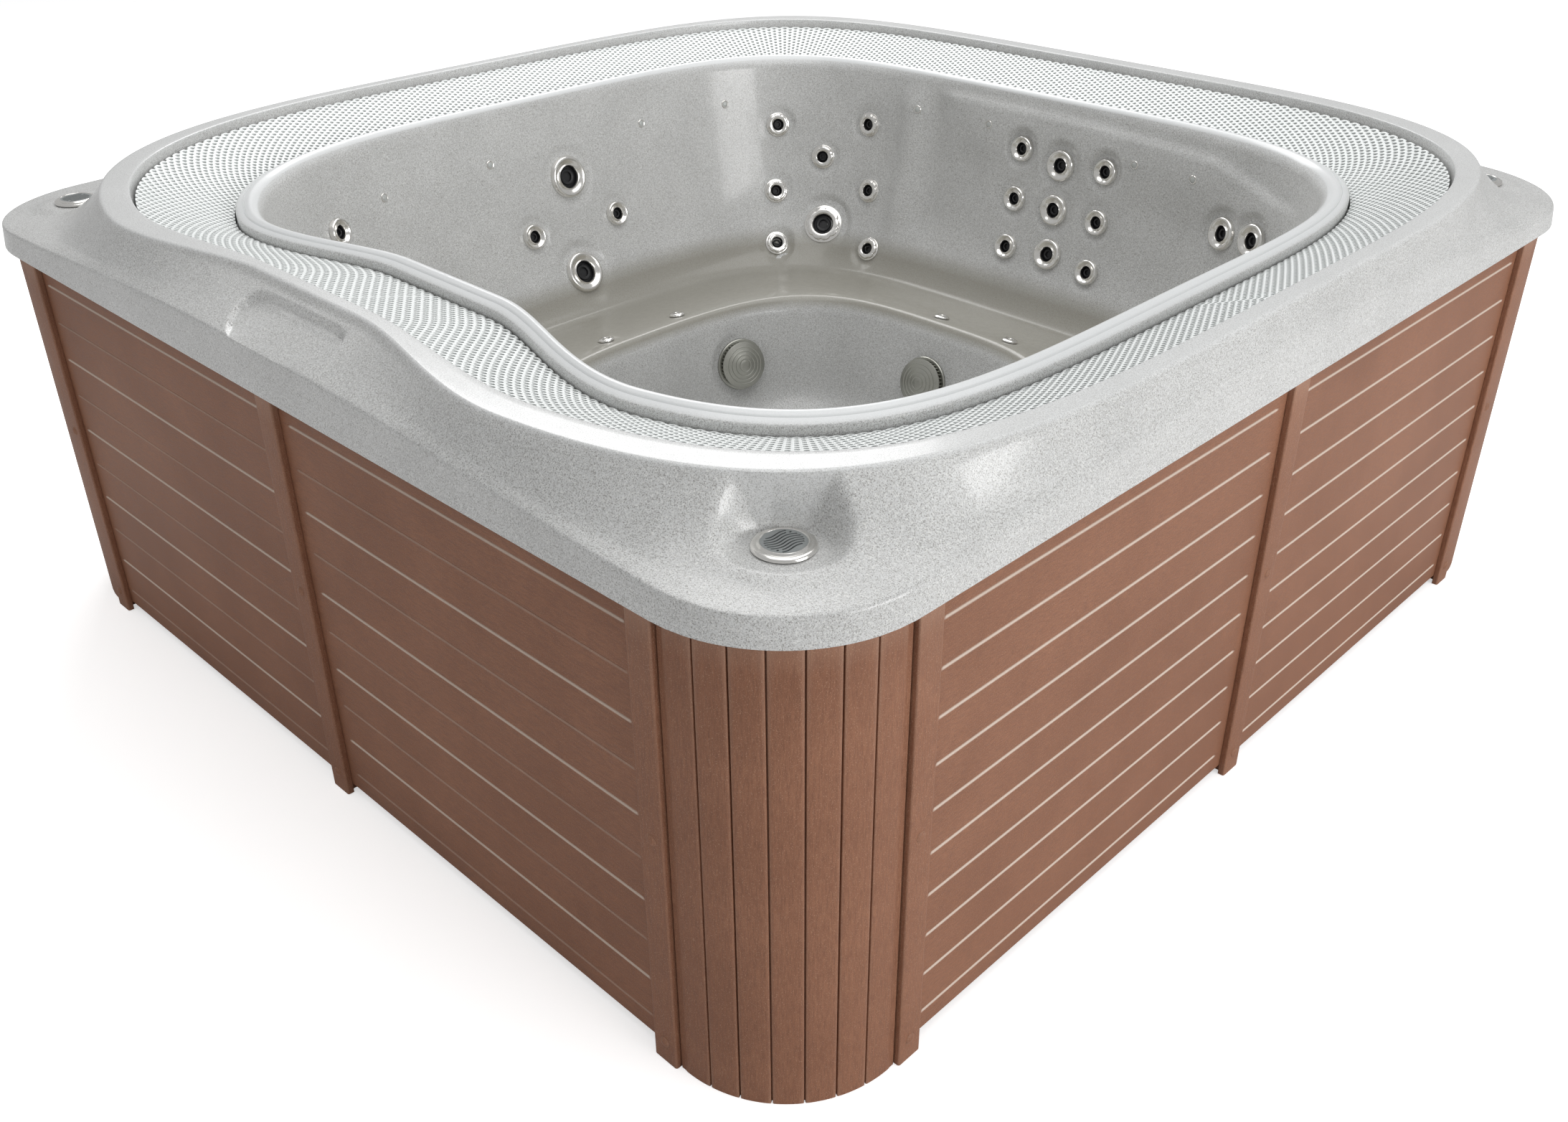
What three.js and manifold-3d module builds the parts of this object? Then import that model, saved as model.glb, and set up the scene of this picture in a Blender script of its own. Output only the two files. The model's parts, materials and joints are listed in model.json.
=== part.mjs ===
// Square overflow hot tub: acrylic shell with a raised rim, a sloping overflow grating all round the
// pool, adjustable jets, corner speakers, and a grooved cabinet round a frame with the spa equipment.
// Millimetres, +Z up. The origin is on the floor, under the middle of the tub.
// The -Y side is the front, whose rim curves in round a control recess on the deck.

import * as THREE from 'three';
import { mergeVertices } from 'three/addons/utils/BufferGeometryUtils.js';
import Module from 'manifold-3d';

const wasm = await Module();
wasm.setup();

// ---- driving dimensions ------------------------------------------------------------------------

const GAP = 0.3; // clearance between pieces that touch
const CABINET_X = 1100; // half the cabinet's width, to the face of the panels
const CABINET_Y = 1130; // half the cabinet's depth, to the face of the panels
const CORNER_R = 200; // radius of the cabinet's corners
const PANEL_T = 16;
const PANEL_BOTTOM = 18;
const PANEL_TOP = 780;
const GROOVE_FIRST = 56; // height of the lowest groove
const GROOVE_PITCH = 74.8;
const GROOVE_COUNT = 10;
const GROOVE_HALF = 4;
const GROOVE_DEPTH = 4;
const GROOVE_MARGIN = 34; // a groove stops this far short of the panel's end
const BATTEN_W = 48;
const BATTEN_PROUD = 12;
const BATTEN_STEM = 30; // the part of a batten between two panels
const CORNER_BATTEN = 843; // where the corner batten starts, from the middle of the side
const CORNER_LAP = 18; // how far it laps over the panel's end
const SLAT_COUNT = 7;
const SLAT_PROUD = 4;
const SLAT_GROOVE = 5;

const OVERHANG = 22; // the shell's skirt stands out this far over the panels
const SKIRT_BOTTOM = 772;
const COVER_TOP = SKIRT_BOTTOM - GAP; // battens and corner covers stop under the skirt
const CREST_Z = 812; // height of the skirt's upper edge at the corners
const CREST_BOW = 34; // and how much higher it is at the middle of each side
const DECK_RISE = 12; // the deck's rise from that edge to the foot of the rim
const DECK_BOW = 11;
const RIM_TOP = 905;
const LIP_TOP = 857; // overflow edge of the pool
const CHANNEL_FLOOR = 792;
const SHELL_T = 12;
const GRATE_T = 20;
const GRATE_OUT_Z = 887; // top of the grating at the rim
const GRATE_IN_Z = 834; // top of the grating at the pool's lip
const LEDGE = 14; // width of the ledges that hold the grating
const LEDGE_PLAY = 2.5; // height of the rubber dots that the grating sits on
const FLOOR_Z = 120; // footwell floor
const TRAY_T = 12;

const COLOR = {
  shell: new THREE.Color(0.62, 0.62, 0.6),
  grate: new THREE.Color(0.84, 0.86, 0.86),
  cabinet: new THREE.Color(0.42, 0.27, 0.2),
  chrome: new THREE.Color(0.8, 0.79, 0.77),
  frame: new THREE.Color(0.55, 0.57, 0.58),
  tray: new THREE.Color(0.08, 0.08, 0.09),
  pump: new THREE.Color(0.2, 0.2, 0.22),
};

// ---- plan curves -------------------------------------------------------------------------------
// Every curve of the shell is a distance from the middle of the tub as a function of the angle.

// Rounded square x^n/a^n + y^n/b^n = 1. Its front right and back left corners are the squarest and its
// front left one is the roundest.
function squircle(a, b, squareness, angle) {
  const evenly = 1.0245 - 0.0855 * Math.sin(2 * angle);
  const n = squareness * (evenly + 0.081 * Math.cos(angle - Math.PI / 4));
  const c = Math.abs(Math.cos(angle)) / a;
  const s = Math.abs(Math.sin(angle)) / b;
  return (c ** n + s ** n) ** (-1 / n);
}

// Rectangle with half sides hx and hy and round corners.
function roundedRectangle(hx, hy, radius, angle) {
  const c = Math.abs(Math.cos(angle));
  const s = Math.abs(Math.sin(angle));
  const cx = hx - radius;
  const cy = hy - radius;
  if (s * hx <= c * cy) return hx / c;
  if (c * hy <= s * cx) return hy / s;
  const along = c * cx + s * cy;
  return along + Math.sqrt(along ** 2 - (cx ** 2 + cy ** 2 - radius ** 2));
}

function smoothstep(t) {
  const u = Math.min(1, Math.max(0, t));
  return u * u * (3 - 2 * u);
}

// On the front side the rim and the pool's edge curve in, as a wave about a metre long.
const WAVE = { middle: 0, half: 570, ramp: 420, reach: 1100 };
function wave(radius, depth, angle) {
  if (Math.sin(angle) >= 0) return radius;
  const x = radius * Math.cos(angle);
  const blend = smoothstep((WAVE.half - Math.abs(x - WAVE.middle)) / WAVE.ramp);
  return radius * (1 - (depth / WAVE.reach) * blend);
}

// The raised rim, the outer edge of the grating and the pool's lip: half width, half depth,
// squareness and depth of the front wave.
const RIM = { a: 1104, b: 1127, n: 4.0, wave: 76 };
const GRATE = { a: 1060, b: 1066, n: 4.0, wave: 55 };
const LIP = { a: 912, b: 915, n: 4.0, wave: 125 };

const ringRadius = (ring, angle) => wave(squircle(ring.a, ring.b, ring.n, angle), ring.wave, angle);
const skirtOuter = (angle, inset = 0) => roundedRectangle(
  CABINET_X + OVERHANG - inset, CABINET_Y + OVERHANG - inset, CORNER_R + OVERHANG - inset, angle);
// 0 at the corners and 1 at the middle of each side.
const bow = (angle) => 1 - Math.abs(Math.sin(2 * angle)) ** 3;
const crestZ = (angle) => CREST_Z + CREST_BOW * bow(angle);
const deckZ = (angle) => crestZ(angle) + DECK_RISE + DECK_BOW * bow(angle);

// The pool's wall: half width, half depth, squareness and front wave by height.
const WALL = [
  { z: 846, a: 870, b: 873, n: 4.0, wave: 125 },
  { z: 745, a: 850, b: 858, n: 4.0, wave: 88 },
  { z: 600, a: 815, b: 836, n: 4.0, wave: 38 },
  { z: 480, a: 775, b: 800, n: 3.9, wave: 10 },
  { z: 400, a: 735, b: 758, n: 3.8, wave: 0 },
  { z: 368, a: 700, b: 722, n: 3.6, wave: 0 },
];
const SEAT = [
  { z: 366, a: 620, b: 650, n: 3.4, wave: 0 },
  { z: 394, a: 480, b: 545, n: 3.0, wave: 0 },
];
const FOOTWELL = [
  { z: 398, a: 455, b: 518, n: 3.0, wave: 0 },
  { z: 372, a: 440, b: 503, n: 3.0, wave: 0 },
  { z: 165, a: 400, b: 445, n: 3.0, wave: 0 },
  { z: FLOOR_Z, a: 350, b: 395, n: 2.8, wave: 0 },
];

// ---- helpers -----------------------------------------------------------------------------------

function bare(geometry) {
  const copy = geometry.clone();
  copy.deleteAttribute('normal');
  copy.deleteAttribute('uv');
  return mergeVertices(copy, 1e-4);
}

function solidOf(geometry) {
  const merged = bare(geometry);
  const mesh = new wasm.Mesh({
    numProp: 3,
    vertProperties: new Float32Array(merged.attributes.position.array),
    triVerts: new Uint32Array(merged.index.array),
  });
  return new wasm.Manifold(mesh);
}

function geometryOf(solid) {
  const mesh = solid.getMesh();
  const geometry = new THREE.BufferGeometry();
  geometry.setAttribute('position', new THREE.BufferAttribute(new Float32Array(mesh.vertProperties), 3));
  geometry.setIndex(new THREE.BufferAttribute(new Uint32Array(mesh.triVerts), 1));
  return geometry;
}

function cut(geometry, cutters) {
  return geometryOf(cutters.reduce((solid, cutter) => solid.subtract(solidOf(cutter)), solidOf(geometry)));
}

function join(geometries) {
  return geometryOf(geometries.map(solidOf).reduce((all, one) => all.add(one)));
}

function block(x0, x1, y0, y1, z0, z1) {
  const box = new THREE.BoxGeometry(x1 - x0, y1 - y0, z1 - z0);
  return box.translate((x0 + x1) / 2, (y0 + y1) / 2, (z0 + z1) / 2);
}

// A plan outline of [x, y] points, extruded upwards between two heights.
function prism(outline, z0, z1) {
  const shape = new THREE.Shape(outline.map(([x, y]) => new THREE.Vector2(x, y)));
  const geometry = new THREE.ExtrudeGeometry(shape, { depth: z1 - z0, bevelEnabled: false });
  return geometry.translate(0, 0, z0);
}

// A turned piece: [radius, height] points from the axis at its back end round to the axis at its
// front end, turned about +Y.
function turned(profile, segments) {
  return new THREE.LatheGeometry(profile.map(([r, h]) => new THREE.Vector2(r, h)), segments);
}

function along(geometry, point, axis) {
  const turn = new THREE.Quaternion().setFromUnitVectors(new THREE.Vector3(0, 1, 0), axis);
  return geometry.applyQuaternion(turn).translate(point.x, point.y, point.z);
}

const group = new THREE.Group();
function add(name, geometry, color, roughness, metalness = 0) {
  const mesh = new THREE.Mesh(geometry, new THREE.MeshStandardMaterial({ color, roughness, metalness }));
  mesh.name = name;
  group.add(mesh);
  return mesh;
}

// ---- shell -------------------------------------------------------------------------------------

// Angles of the shell's columns in one quarter: wider steps on the straight sides.
const QUARTER = [0, 12, 23, 32, 38, 41.5, 45, 48.5, 52, 58, 67, 78];
const ANGLES = [0, 90, 180, 270].flatMap((turn) => QUARTER.map((a) => THREE.MathUtils.degToRad(turn + a)));

// The upper surface at one angle, from the skirt's lower edge in to the footwell floor.
function upperProfile(angle) {
  const rim = ringRadius(RIM, angle);
  const crest = skirtOuter(angle, 4);
  const deckIn = rim + Math.min(60, 0.5 * (crest - rim));
  const grate = ringRadius(GRATE, angle);
  const lip = ringRadius(LIP, angle);
  const top = crestZ(angle);
  return [
    [skirtOuter(angle), SKIRT_BOTTOM],
    [crest, top],
    [crest - 8, top + 4],
    [deckIn, deckZ(angle)],
    [rim, RIM_TOP - 12],
    [rim - 10, RIM_TOP],
    [grate + 4, RIM_TOP],
    [grate, GRATE_OUT_Z - GRATE_T - LEDGE_PLAY],
    [grate - LEDGE, GRATE_OUT_Z - GRATE_T - LEDGE_PLAY - 4],
    [grate - LEDGE, CHANNEL_FLOOR],
    [lip + LEDGE, CHANNEL_FLOOR],
    [lip + LEDGE, GRATE_IN_Z - GRATE_T - LEDGE_PLAY + 4],
    [lip, GRATE_IN_Z - GRATE_T - LEDGE_PLAY],
    [lip - 5, LIP_TOP],
    [lip - 30, LIP_TOP],
    ...[...WALL, ...SEAT, ...FOOTWELL].map((ring) => [ringRadius(ring, angle), ring.z]),
  ];
}

// The underside at the same angle, from the footwell floor back out to the skirt's lower edge.
function lowerProfile(angle) {
  const rim = ringRadius(RIM, angle);
  const crest = skirtOuter(angle, 4);
  const deckIn = rim + Math.min(60, 0.5 * (crest - rim));
  const wallOut = (ring) => [ringRadius(ring, angle) + SHELL_T, ring.z];
  const [footTop, , footLow, footFloor] = FOOTWELL;
  return [
    [ringRadius(footFloor, angle) + 4, FLOOR_Z - SHELL_T],
    [ringRadius(footLow, angle) + SHELL_T, footLow.z],
    [ringRadius(footTop, angle) + SHELL_T - 4, footTop.z - 18],
    [ringRadius(SEAT[0], angle), SEAT[0].z - SHELL_T],
    [ringRadius(WALL[5], angle) + 4, WALL[5].z - SHELL_T],
    ...[4, 3, 2, 1].map((i) => wallOut(WALL[i])),
    [ringRadius(WALL[1], angle) + SHELL_T + 4, CHANNEL_FLOOR - SHELL_T],
    [ringRadius(GRATE, angle) + 8, CHANNEL_FLOOR - SHELL_T],
    [ringRadius(GRATE, angle) + 10, RIM_TOP - 12],
    [rim - 16, RIM_TOP - 20],
    [deckIn - 9, deckZ(angle) - 15],
    [crest - 9, crestZ(angle) - 8],
    [skirtOuter(angle, 8), SKIRT_BOTTOM],
  ];
}

// Both profiles at every angle, joined into a closed skin with a middle point on the footwell's floor
// and one under it.
function shellGeometry() {
  const columns = ANGLES.map((angle) => [...upperProfile(angle), ...lowerProfile(angle)]);
  const upperCount = upperProfile(0).length;
  const rows = columns[0].length;
  const positions = [];
  columns.forEach((column, i) => column.forEach(([r, z]) => {
    positions.push(r * Math.cos(ANGLES[i]), r * Math.sin(ANGLES[i]), z);
  }));
  const floorMiddle = positions.length / 3;
  positions.push(0, 0, FLOOR_Z, 0, 0, FLOOR_Z - SHELL_T);
  const index = [];
  const at = (i, j) => (i % ANGLES.length) * rows + ((j + rows) % rows);
  for (let i = 0; i < ANGLES.length; i++) {
    for (let j = 0; j < rows; j++) {
      if (j === upperCount - 1) {
        index.push(at(i, j), at(i + 1, j), floorMiddle);
        index.push(at(i + 1, j + 1), at(i, j + 1), floorMiddle + 1);
      } else {
        index.push(at(i, j), at(i + 1, j), at(i + 1, j + 1), at(i, j), at(i + 1, j + 1), at(i, j + 1));
      }
    }
  }
  const geometry = new THREE.BufferGeometry();
  geometry.setAttribute('position', new THREE.BufferAttribute(new Float32Array(positions), 3));
  geometry.setIndex(index);
  return geometry;
}

// Point and outward-facing normal on the faceted pool wall, seat or riser, at an angle and height.
function basinPoint(rings, angle, z) {
  const turn = (angle + 2 * Math.PI) % (2 * Math.PI);
  let i = ANGLES.findIndex((a) => a > turn) - 1;
  if (i < 0) i = ANGLES.length - 1;
  const j = rings.findIndex((ring, k) => k + 1 < rings.length && (ring.z - z) * (rings[k + 1].z - z) <= 0);
  const corner = (column, ring) => {
    const a = ANGLES[column % ANGLES.length];
    const r = ringRadius(ring, a);
    return new THREE.Vector3(r * Math.cos(a), r * Math.sin(a), ring.z);
  };
  const a0 = corner(i, rings[j]);
  const b0 = corner(i + 1, rings[j]);
  const a1 = corner(i, rings[j + 1]);
  const b1 = corner(i + 1, rings[j + 1]);
  const t = (z - rings[j].z) / (rings[j + 1].z - rings[j].z);
  const left = a0.clone().lerp(a1, t);
  const right = b0.clone().lerp(b1, t);
  const ray = new THREE.Vector3(-Math.sin(angle), Math.cos(angle), 0);
  const along01 = -left.dot(ray) / right.clone().sub(left).dot(ray);
  const point = left.clone().lerp(right, along01);
  const normal = right.sub(left).cross(a1.clone().sub(a0)).normalize();
  if (normal.dot(point) > 0) normal.negate();
  return { point, normal };
}

// ---- jets --------------------------------------------------------------------------------------

const JET_SIZES = {
  small: { face: 28, bore: 8, neck: 19, dish: 40, sides: 8 },
  medium: { face: 34, bore: 9, neck: 22, dish: 50, sides: 8 },
  large: { face: 46, bore: 15, neck: 30, dish: 62, sides: 10 },
};
// The jets of each group: size, and angle in degrees and height of the place on the pool wall.
const JET_GROUPS = {
  corner_seat: [
    ['small', 135.4, 694], ['small', 121.7, 710], ['small', 128.7, 618], ['small', 135.8, 535],
    ['small', 121.1, 552], ['small', 135.8, 416], ['small', 120.2, 420], ['large', 128.3, 460]],
  left_seat: [
    ['large', 172.9, 667], ['small', 164.6, 557], ['small', 182.4, 558], ['large', 174.2, 453]],
  back_seat: [
    ['small', 93.3, 730], ['medium', 85.7, 712], ['small', 77.7, 721], ['small', 93.3, 614],
    ['medium', 85.5, 610], ['small', 77.4, 607], ['small', 93.0, 504], ['medium', 84.5, 512],
    ['small', 76.4, 497]],
  side_seat: [['medium', 57.7, 661], ['medium', 52.6, 672]],
  front_seat: [['small', 214.9, 698]],
};

// The jets, each with its name, size and its place on the pool wall.
function placedJets() {
  return Object.entries(JET_GROUPS).flatMap(([group, jets]) => jets.map(([size, degrees, z], k) => ({
    name: `jet_${group}_${k + 1}`,
    size: JET_SIZES[size],
    ...basinPoint(WALL, THREE.MathUtils.degToRad(degrees), z),
  })));
}

const JETS = placedJets();
const JET_SUNK = 4; // depth of the moulded dish round a jet
const JET_NECK = 34;

function jetGeometry({ face, bore, neck, sides }) {
  return turned([
    [0, -JET_NECK], [neck - 1, -JET_NECK], [neck, -JET_SUNK + GAP], [face, -JET_SUNK + GAP],
    [face - 7, 4], [bore, 4], [bore, -8], [0, -8],
  ], sides);
}

// The hole for a jet, opening into a dish that the jet's face sits in.
function jetCutter({ size, point, normal }) {
  return along(turned([
    [0, -60], [size.neck + 3, -60], [size.neck + 3, -JET_SUNK], [size.face + 4, -JET_SUNK], [size.dish, 30],
    [0, 30],
  ], size.sides), point, normal);
}

// ---- fittings in the footwell and on the deck --------------------------------------------------

const UP = new THREE.Vector3(0, 0, 1);
const SUCTIONS = [['suction_cover_left', 148], ['suction_cover_back', 91]].map(([name, degrees]) => (
  { name, ...basinPoint(FOOTWELL, THREE.MathUtils.degToRad(degrees), 262) }));
const INJECTORS = [164, 188, 94, 73.6].map((degrees, k) => {
  const angle = THREE.MathUtils.degToRad(degrees);
  const { point, normal } = basinPoint(SEAT, angle, 388);
  return { name: `air_injector_${k + 1}`, point, normal: normal.z < 0 ? normal.negate() : normal };
});
const SPEAKER_INSET = 138;
const SPEAKERS = [['front_right', 1, -1], ['front_left', -1, -1], ['back_left', -1, 1], ['back_right', 1, 1]]
  .map(([side, sx, sy]) => ({
    name: `speaker_${side}`,
    point: new THREE.Vector3(sx * (CABINET_X - SPEAKER_INSET), sy * (CABINET_Y - SPEAKER_INSET), 826),
    normal: UP,
  }));

const suctionGeometry = () => turned([
  [0, -40], [26, -40], [26, GAP], [62, GAP], [62, 8], [56, 19], [34, 25], [0, 26]], 14);
const injectorGeometry = () => turned([
  [0, -32], [12, -32], [12, 1.5], [19, 1.5], [19, 3], [14, 6], [0, 7]], 10);
const speakerGeometry = () => turned([
  [0, -58], [33, -58], [33, 1], [40, 1], [40, 6], [34, 10], [30, 8], [0, 7]], 12);

// The hole for a fitting, opening into a flat seat for its flange.
function fittingCutter({ point, normal }, holeRadius, seatRadius) {
  return along(turned([
    [0, -90], [holeRadius, -90], [holeRadius, -1], [seatRadius, -1], [seatRadius, 40], [0, 40],
  ], 10), point, normal);
}

// Control recess in the front deck, a D open to the skirt: its half widths by distance from the
// tub's middle, and a floor that leaves the deck at the skirt and is deepest at the rim.
const RECESS = {
  middle: 22, floor: 847, floorFrom: 1146, slope: 0.42,
  halves: [[1160, 60], [1140, 98], [1120, 124], [1098, 138], [1078, 138], [1066, 126], [1062, 108]],
};

function recessCutter() {
  const side = (sign) => RECESS.halves.map(([distance, half]) => [RECESS.middle + sign * half, -distance]);
  const block = prism([...side(-1).reverse(), ...side(1)].reverse(), 0, 80);
  const { floor, floorFrom, slope } = RECESS;
  return block.applyMatrix4(new THREE.Matrix4().set(
    1, 0, 0, 0,
    0, 1, 0, 0,
    0, slope, 1, floor + slope * floorFrom,
    0, 0, 0, 1,
  ));
}

function buildShell() {
  const cutters = [
    recessCutter(),
    ...JETS.map(jetCutter),
    ...SUCTIONS.map((fitting) => fittingCutter(fitting, 30, 70)),
    ...INJECTORS.map((fitting) => fittingCutter(fitting, 15, 20)),
    ...SPEAKERS.map((fitting) => fittingCutter(fitting, 36, 46)),
  ];
  add('shell', cut(shellGeometry(), cutters), COLOR.shell, 0.25);
}

function buildFittings() {
  JETS.forEach((jet) => add(jet.name, along(jetGeometry(jet.size), jet.point, jet.normal), COLOR.chrome, 0.2, 1));
  SUCTIONS.forEach((f) => add(f.name, along(suctionGeometry(), f.point, f.normal), COLOR.chrome, 0.3, 1));
  INJECTORS.forEach((f) => add(f.name, along(injectorGeometry(), f.point, f.normal), COLOR.chrome, 0.2, 1));
  SPEAKERS.forEach((f) => add(f.name, along(speakerGeometry(), f.point, f.normal), COLOR.chrome, 0.25, 1));
}

// ---- overflow grating --------------------------------------------------------------------------

// One corner section of the grating, between two angles, as a sloping slab with four edges.
function grateGeometry(from) {
  const slit = 0.0006; // half the slit between sections, in radians
  const inside = ANGLES.filter((a) => a > from + 0.01 && a < from + Math.PI / 2 - 0.01);
  const stops = [from + slit, ...inside, from + Math.PI / 2 - slit];
  const positions = stops.flatMap((angle) => {
    const out = ringRadius(GRATE, angle) - 2.5;
    const inner = ringRadius(LIP, angle) + 2.5;
    return [
      [out, GRATE_OUT_Z], [inner, GRATE_IN_Z], [inner, GRATE_IN_Z - GRATE_T], [out, GRATE_OUT_Z - GRATE_T],
    ].flatMap(([r, z]) => [r * Math.cos(angle), r * Math.sin(angle), z]);
  });
  const index = [0, 1, 2, 0, 2, 3];
  for (let i = 0; i < stops.length - 1; i++) {
    for (let k = 0; k < 4; k++) {
      const a = i * 4 + k;
      const b = i * 4 + ((k + 1) % 4);
      index.push(a, a + 4, b + 4, a, b + 4, b);
    }
  }
  const end = (stops.length - 1) * 4;
  index.push(end, end + 2, end + 1, end, end + 3, end + 2);
  const geometry = new THREE.BufferGeometry();
  geometry.setAttribute('position', new THREE.BufferAttribute(new Float32Array(positions), 3));
  geometry.setIndex(index);
  return geometry;
}

function buildGrating() {
  ['back_right', 'back_left', 'front_left', 'front_right'].forEach((side, k) => {
    add(`grating_${side}`, grateGeometry((k * Math.PI) / 2), COLOR.grate, 0.5);
  });
}

// ---- cabinet -----------------------------------------------------------------------------------

// Pieces of a side are drawn for the front side, and turned to theirs.
const SIDES = [
  { name: 'front', turn: 0, half: CABINET_X, face: CABINET_Y },
  { name: 'right', turn: Math.PI / 2, half: CABINET_Y, face: CABINET_X },
  { name: 'back', turn: Math.PI, half: CABINET_X, face: CABINET_Y },
  { name: 'left', turn: -Math.PI / 2, half: CABINET_Y, face: CABINET_X },
];

// A panel from x0 to x1 with level grooves that stop short of its ends.
function panelGeometry(x0, x1, face) {
  const board = block(x0, x1, -face, -face + PANEL_T, PANEL_BOTTOM, PANEL_TOP);
  const grooves = Array.from({ length: GROOVE_COUNT }, (_, k) => {
    const section = new THREE.Shape([
      new THREE.Vector2(GROOVE_HALF + 1, 1), new THREE.Vector2(0, -GROOVE_DEPTH),
      new THREE.Vector2(-GROOVE_HALF - 1, 1),
    ]);
    const length = x1 - x0 - 2 * GROOVE_MARGIN;
    const groove = new THREE.ExtrudeGeometry(section, { depth: length, bevelEnabled: false });
    groove.rotateY(Math.PI / 2).rotateX(Math.PI / 2);
    return groove.translate(x0 + GROOVE_MARGIN, -face, GROOVE_FIRST + k * GROOVE_PITCH);
  });
  return cut(board, grooves);
}

function battenGeometry(face) {
  const cap = BATTEN_W / 2;
  const stem = BATTEN_STEM / 2;
  const outer = -face - BATTEN_PROUD;
  const inner = -face - GAP;
  return prism([
    [-cap, inner], [-cap, outer + 3], [-cap + 3, outer], [cap - 3, outer], [cap, outer + 3], [cap, inner],
    [stem, inner], [stem, -face + PANEL_T], [-stem, -face + PANEL_T], [-stem, inner],
  ], 0, COVER_TOP);
}

// Outline of a corner cover: a batten, the slatted quarter round and the next batten, in the corner
// of the front and right sides.
function cornerOutline() {
  const middle = [CABINET_X - CORNER_R, -(CABINET_Y - CORNER_R)];
  const outerR = CORNER_R + SLAT_PROUD;
  const innerR = CORNER_R - PANEL_T + 2;
  const arc = (radius, degrees) => {
    const a = THREE.MathUtils.degToRad(degrees);
    return [middle[0] + radius * Math.cos(a), middle[1] + radius * Math.sin(a)];
  };
  const lap = CORNER_BATTEN + CORNER_LAP;
  const end = CORNER_BATTEN + BATTEN_W - 2;
  const slatAngle = 90 / SLAT_COUNT;
  const notch = THREE.MathUtils.radToDeg(SLAT_GROOVE / 2 / outerR);
  const front = [
    [lap, -CABINET_Y + PANEL_T], [lap, -CABINET_Y - GAP], [CORNER_BATTEN, -CABINET_Y - GAP],
    [CORNER_BATTEN, -CABINET_Y - BATTEN_PROUD], [end, -CABINET_Y - BATTEN_PROUD], [end, -CABINET_Y + 4],
    [end + SLAT_GROOVE, -CABINET_Y + 4], [end + SLAT_GROOVE, -CABINET_Y - SLAT_PROUD],
  ];
  const slats = Array.from({ length: SLAT_COUNT }, (_, k) => {
    const start = -90 + k * slatAngle + (k ? notch : 0);
    const stop = -90 + (k + 1) * slatAngle - (k < SLAT_COUNT - 1 ? notch : 0);
    const face = [arc(outerR, start), arc(outerR, (start + stop) / 2), arc(outerR, stop)];
    return k < SLAT_COUNT - 1 ? [...face, arc(outerR - 6, stop), arc(outerR - 6, stop + 2 * notch)] : face;
  }).flat();
  // The right side's half is the front side's, mirrored in the corner's diagonal.
  const mirror = ([x, y]) => [-y - (CABINET_Y - CABINET_X), -x - (CABINET_Y - CABINET_X)];
  const right = front.map(mirror).reverse();
  const inner = [0, -22.5, -45, -67.5, -90].map((degrees) => arc(innerR, degrees));
  return [...front, ...slats, ...right, ...inner];
}

function buildCabinet() {
  const joint = BATTEN_STEM / 2 + GAP;
  SIDES.forEach(({ name, turn, half, face }) => {
    const edge = half - CABINET_X + CORNER_BATTEN + CORNER_LAP - GAP;
    [['a', -edge, -joint], ['b', joint, edge]].forEach(([letter, x0, x1]) => {
      const mesh = add(`panel_${name}_${letter}`, panelGeometry(x0, x1, face), COLOR.cabinet, 0.7);
      mesh.rotation.z = turn;
    });
    add(`batten_${name}`, battenGeometry(face), COLOR.cabinet, 0.7).rotation.z = turn;
  });
  const corners = [['front_right', 1, 1], ['back_right', 1, -1], ['back_left', -1, -1], ['front_left', -1, 1]];
  corners.forEach(([name, sx, sy]) => {
    const outline = cornerOutline().map(([x, y]) => [sx * x, sy * y]);
    if (sx * sy > 0) outline.reverse();
    add(`corner_cover_${name}`, prism(outline, 0, COVER_TOP), COLOR.cabinet, 0.7);
  });
}

// ---- frame, tray and equipment inside ----------------------------------------------------------

const FRAME_X = 1074;
const FRAME_Y = 1104;
const RAIL = 40;
const FRAME_TOP = CHANNEL_FLOOR - SHELL_T - GAP;

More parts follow.
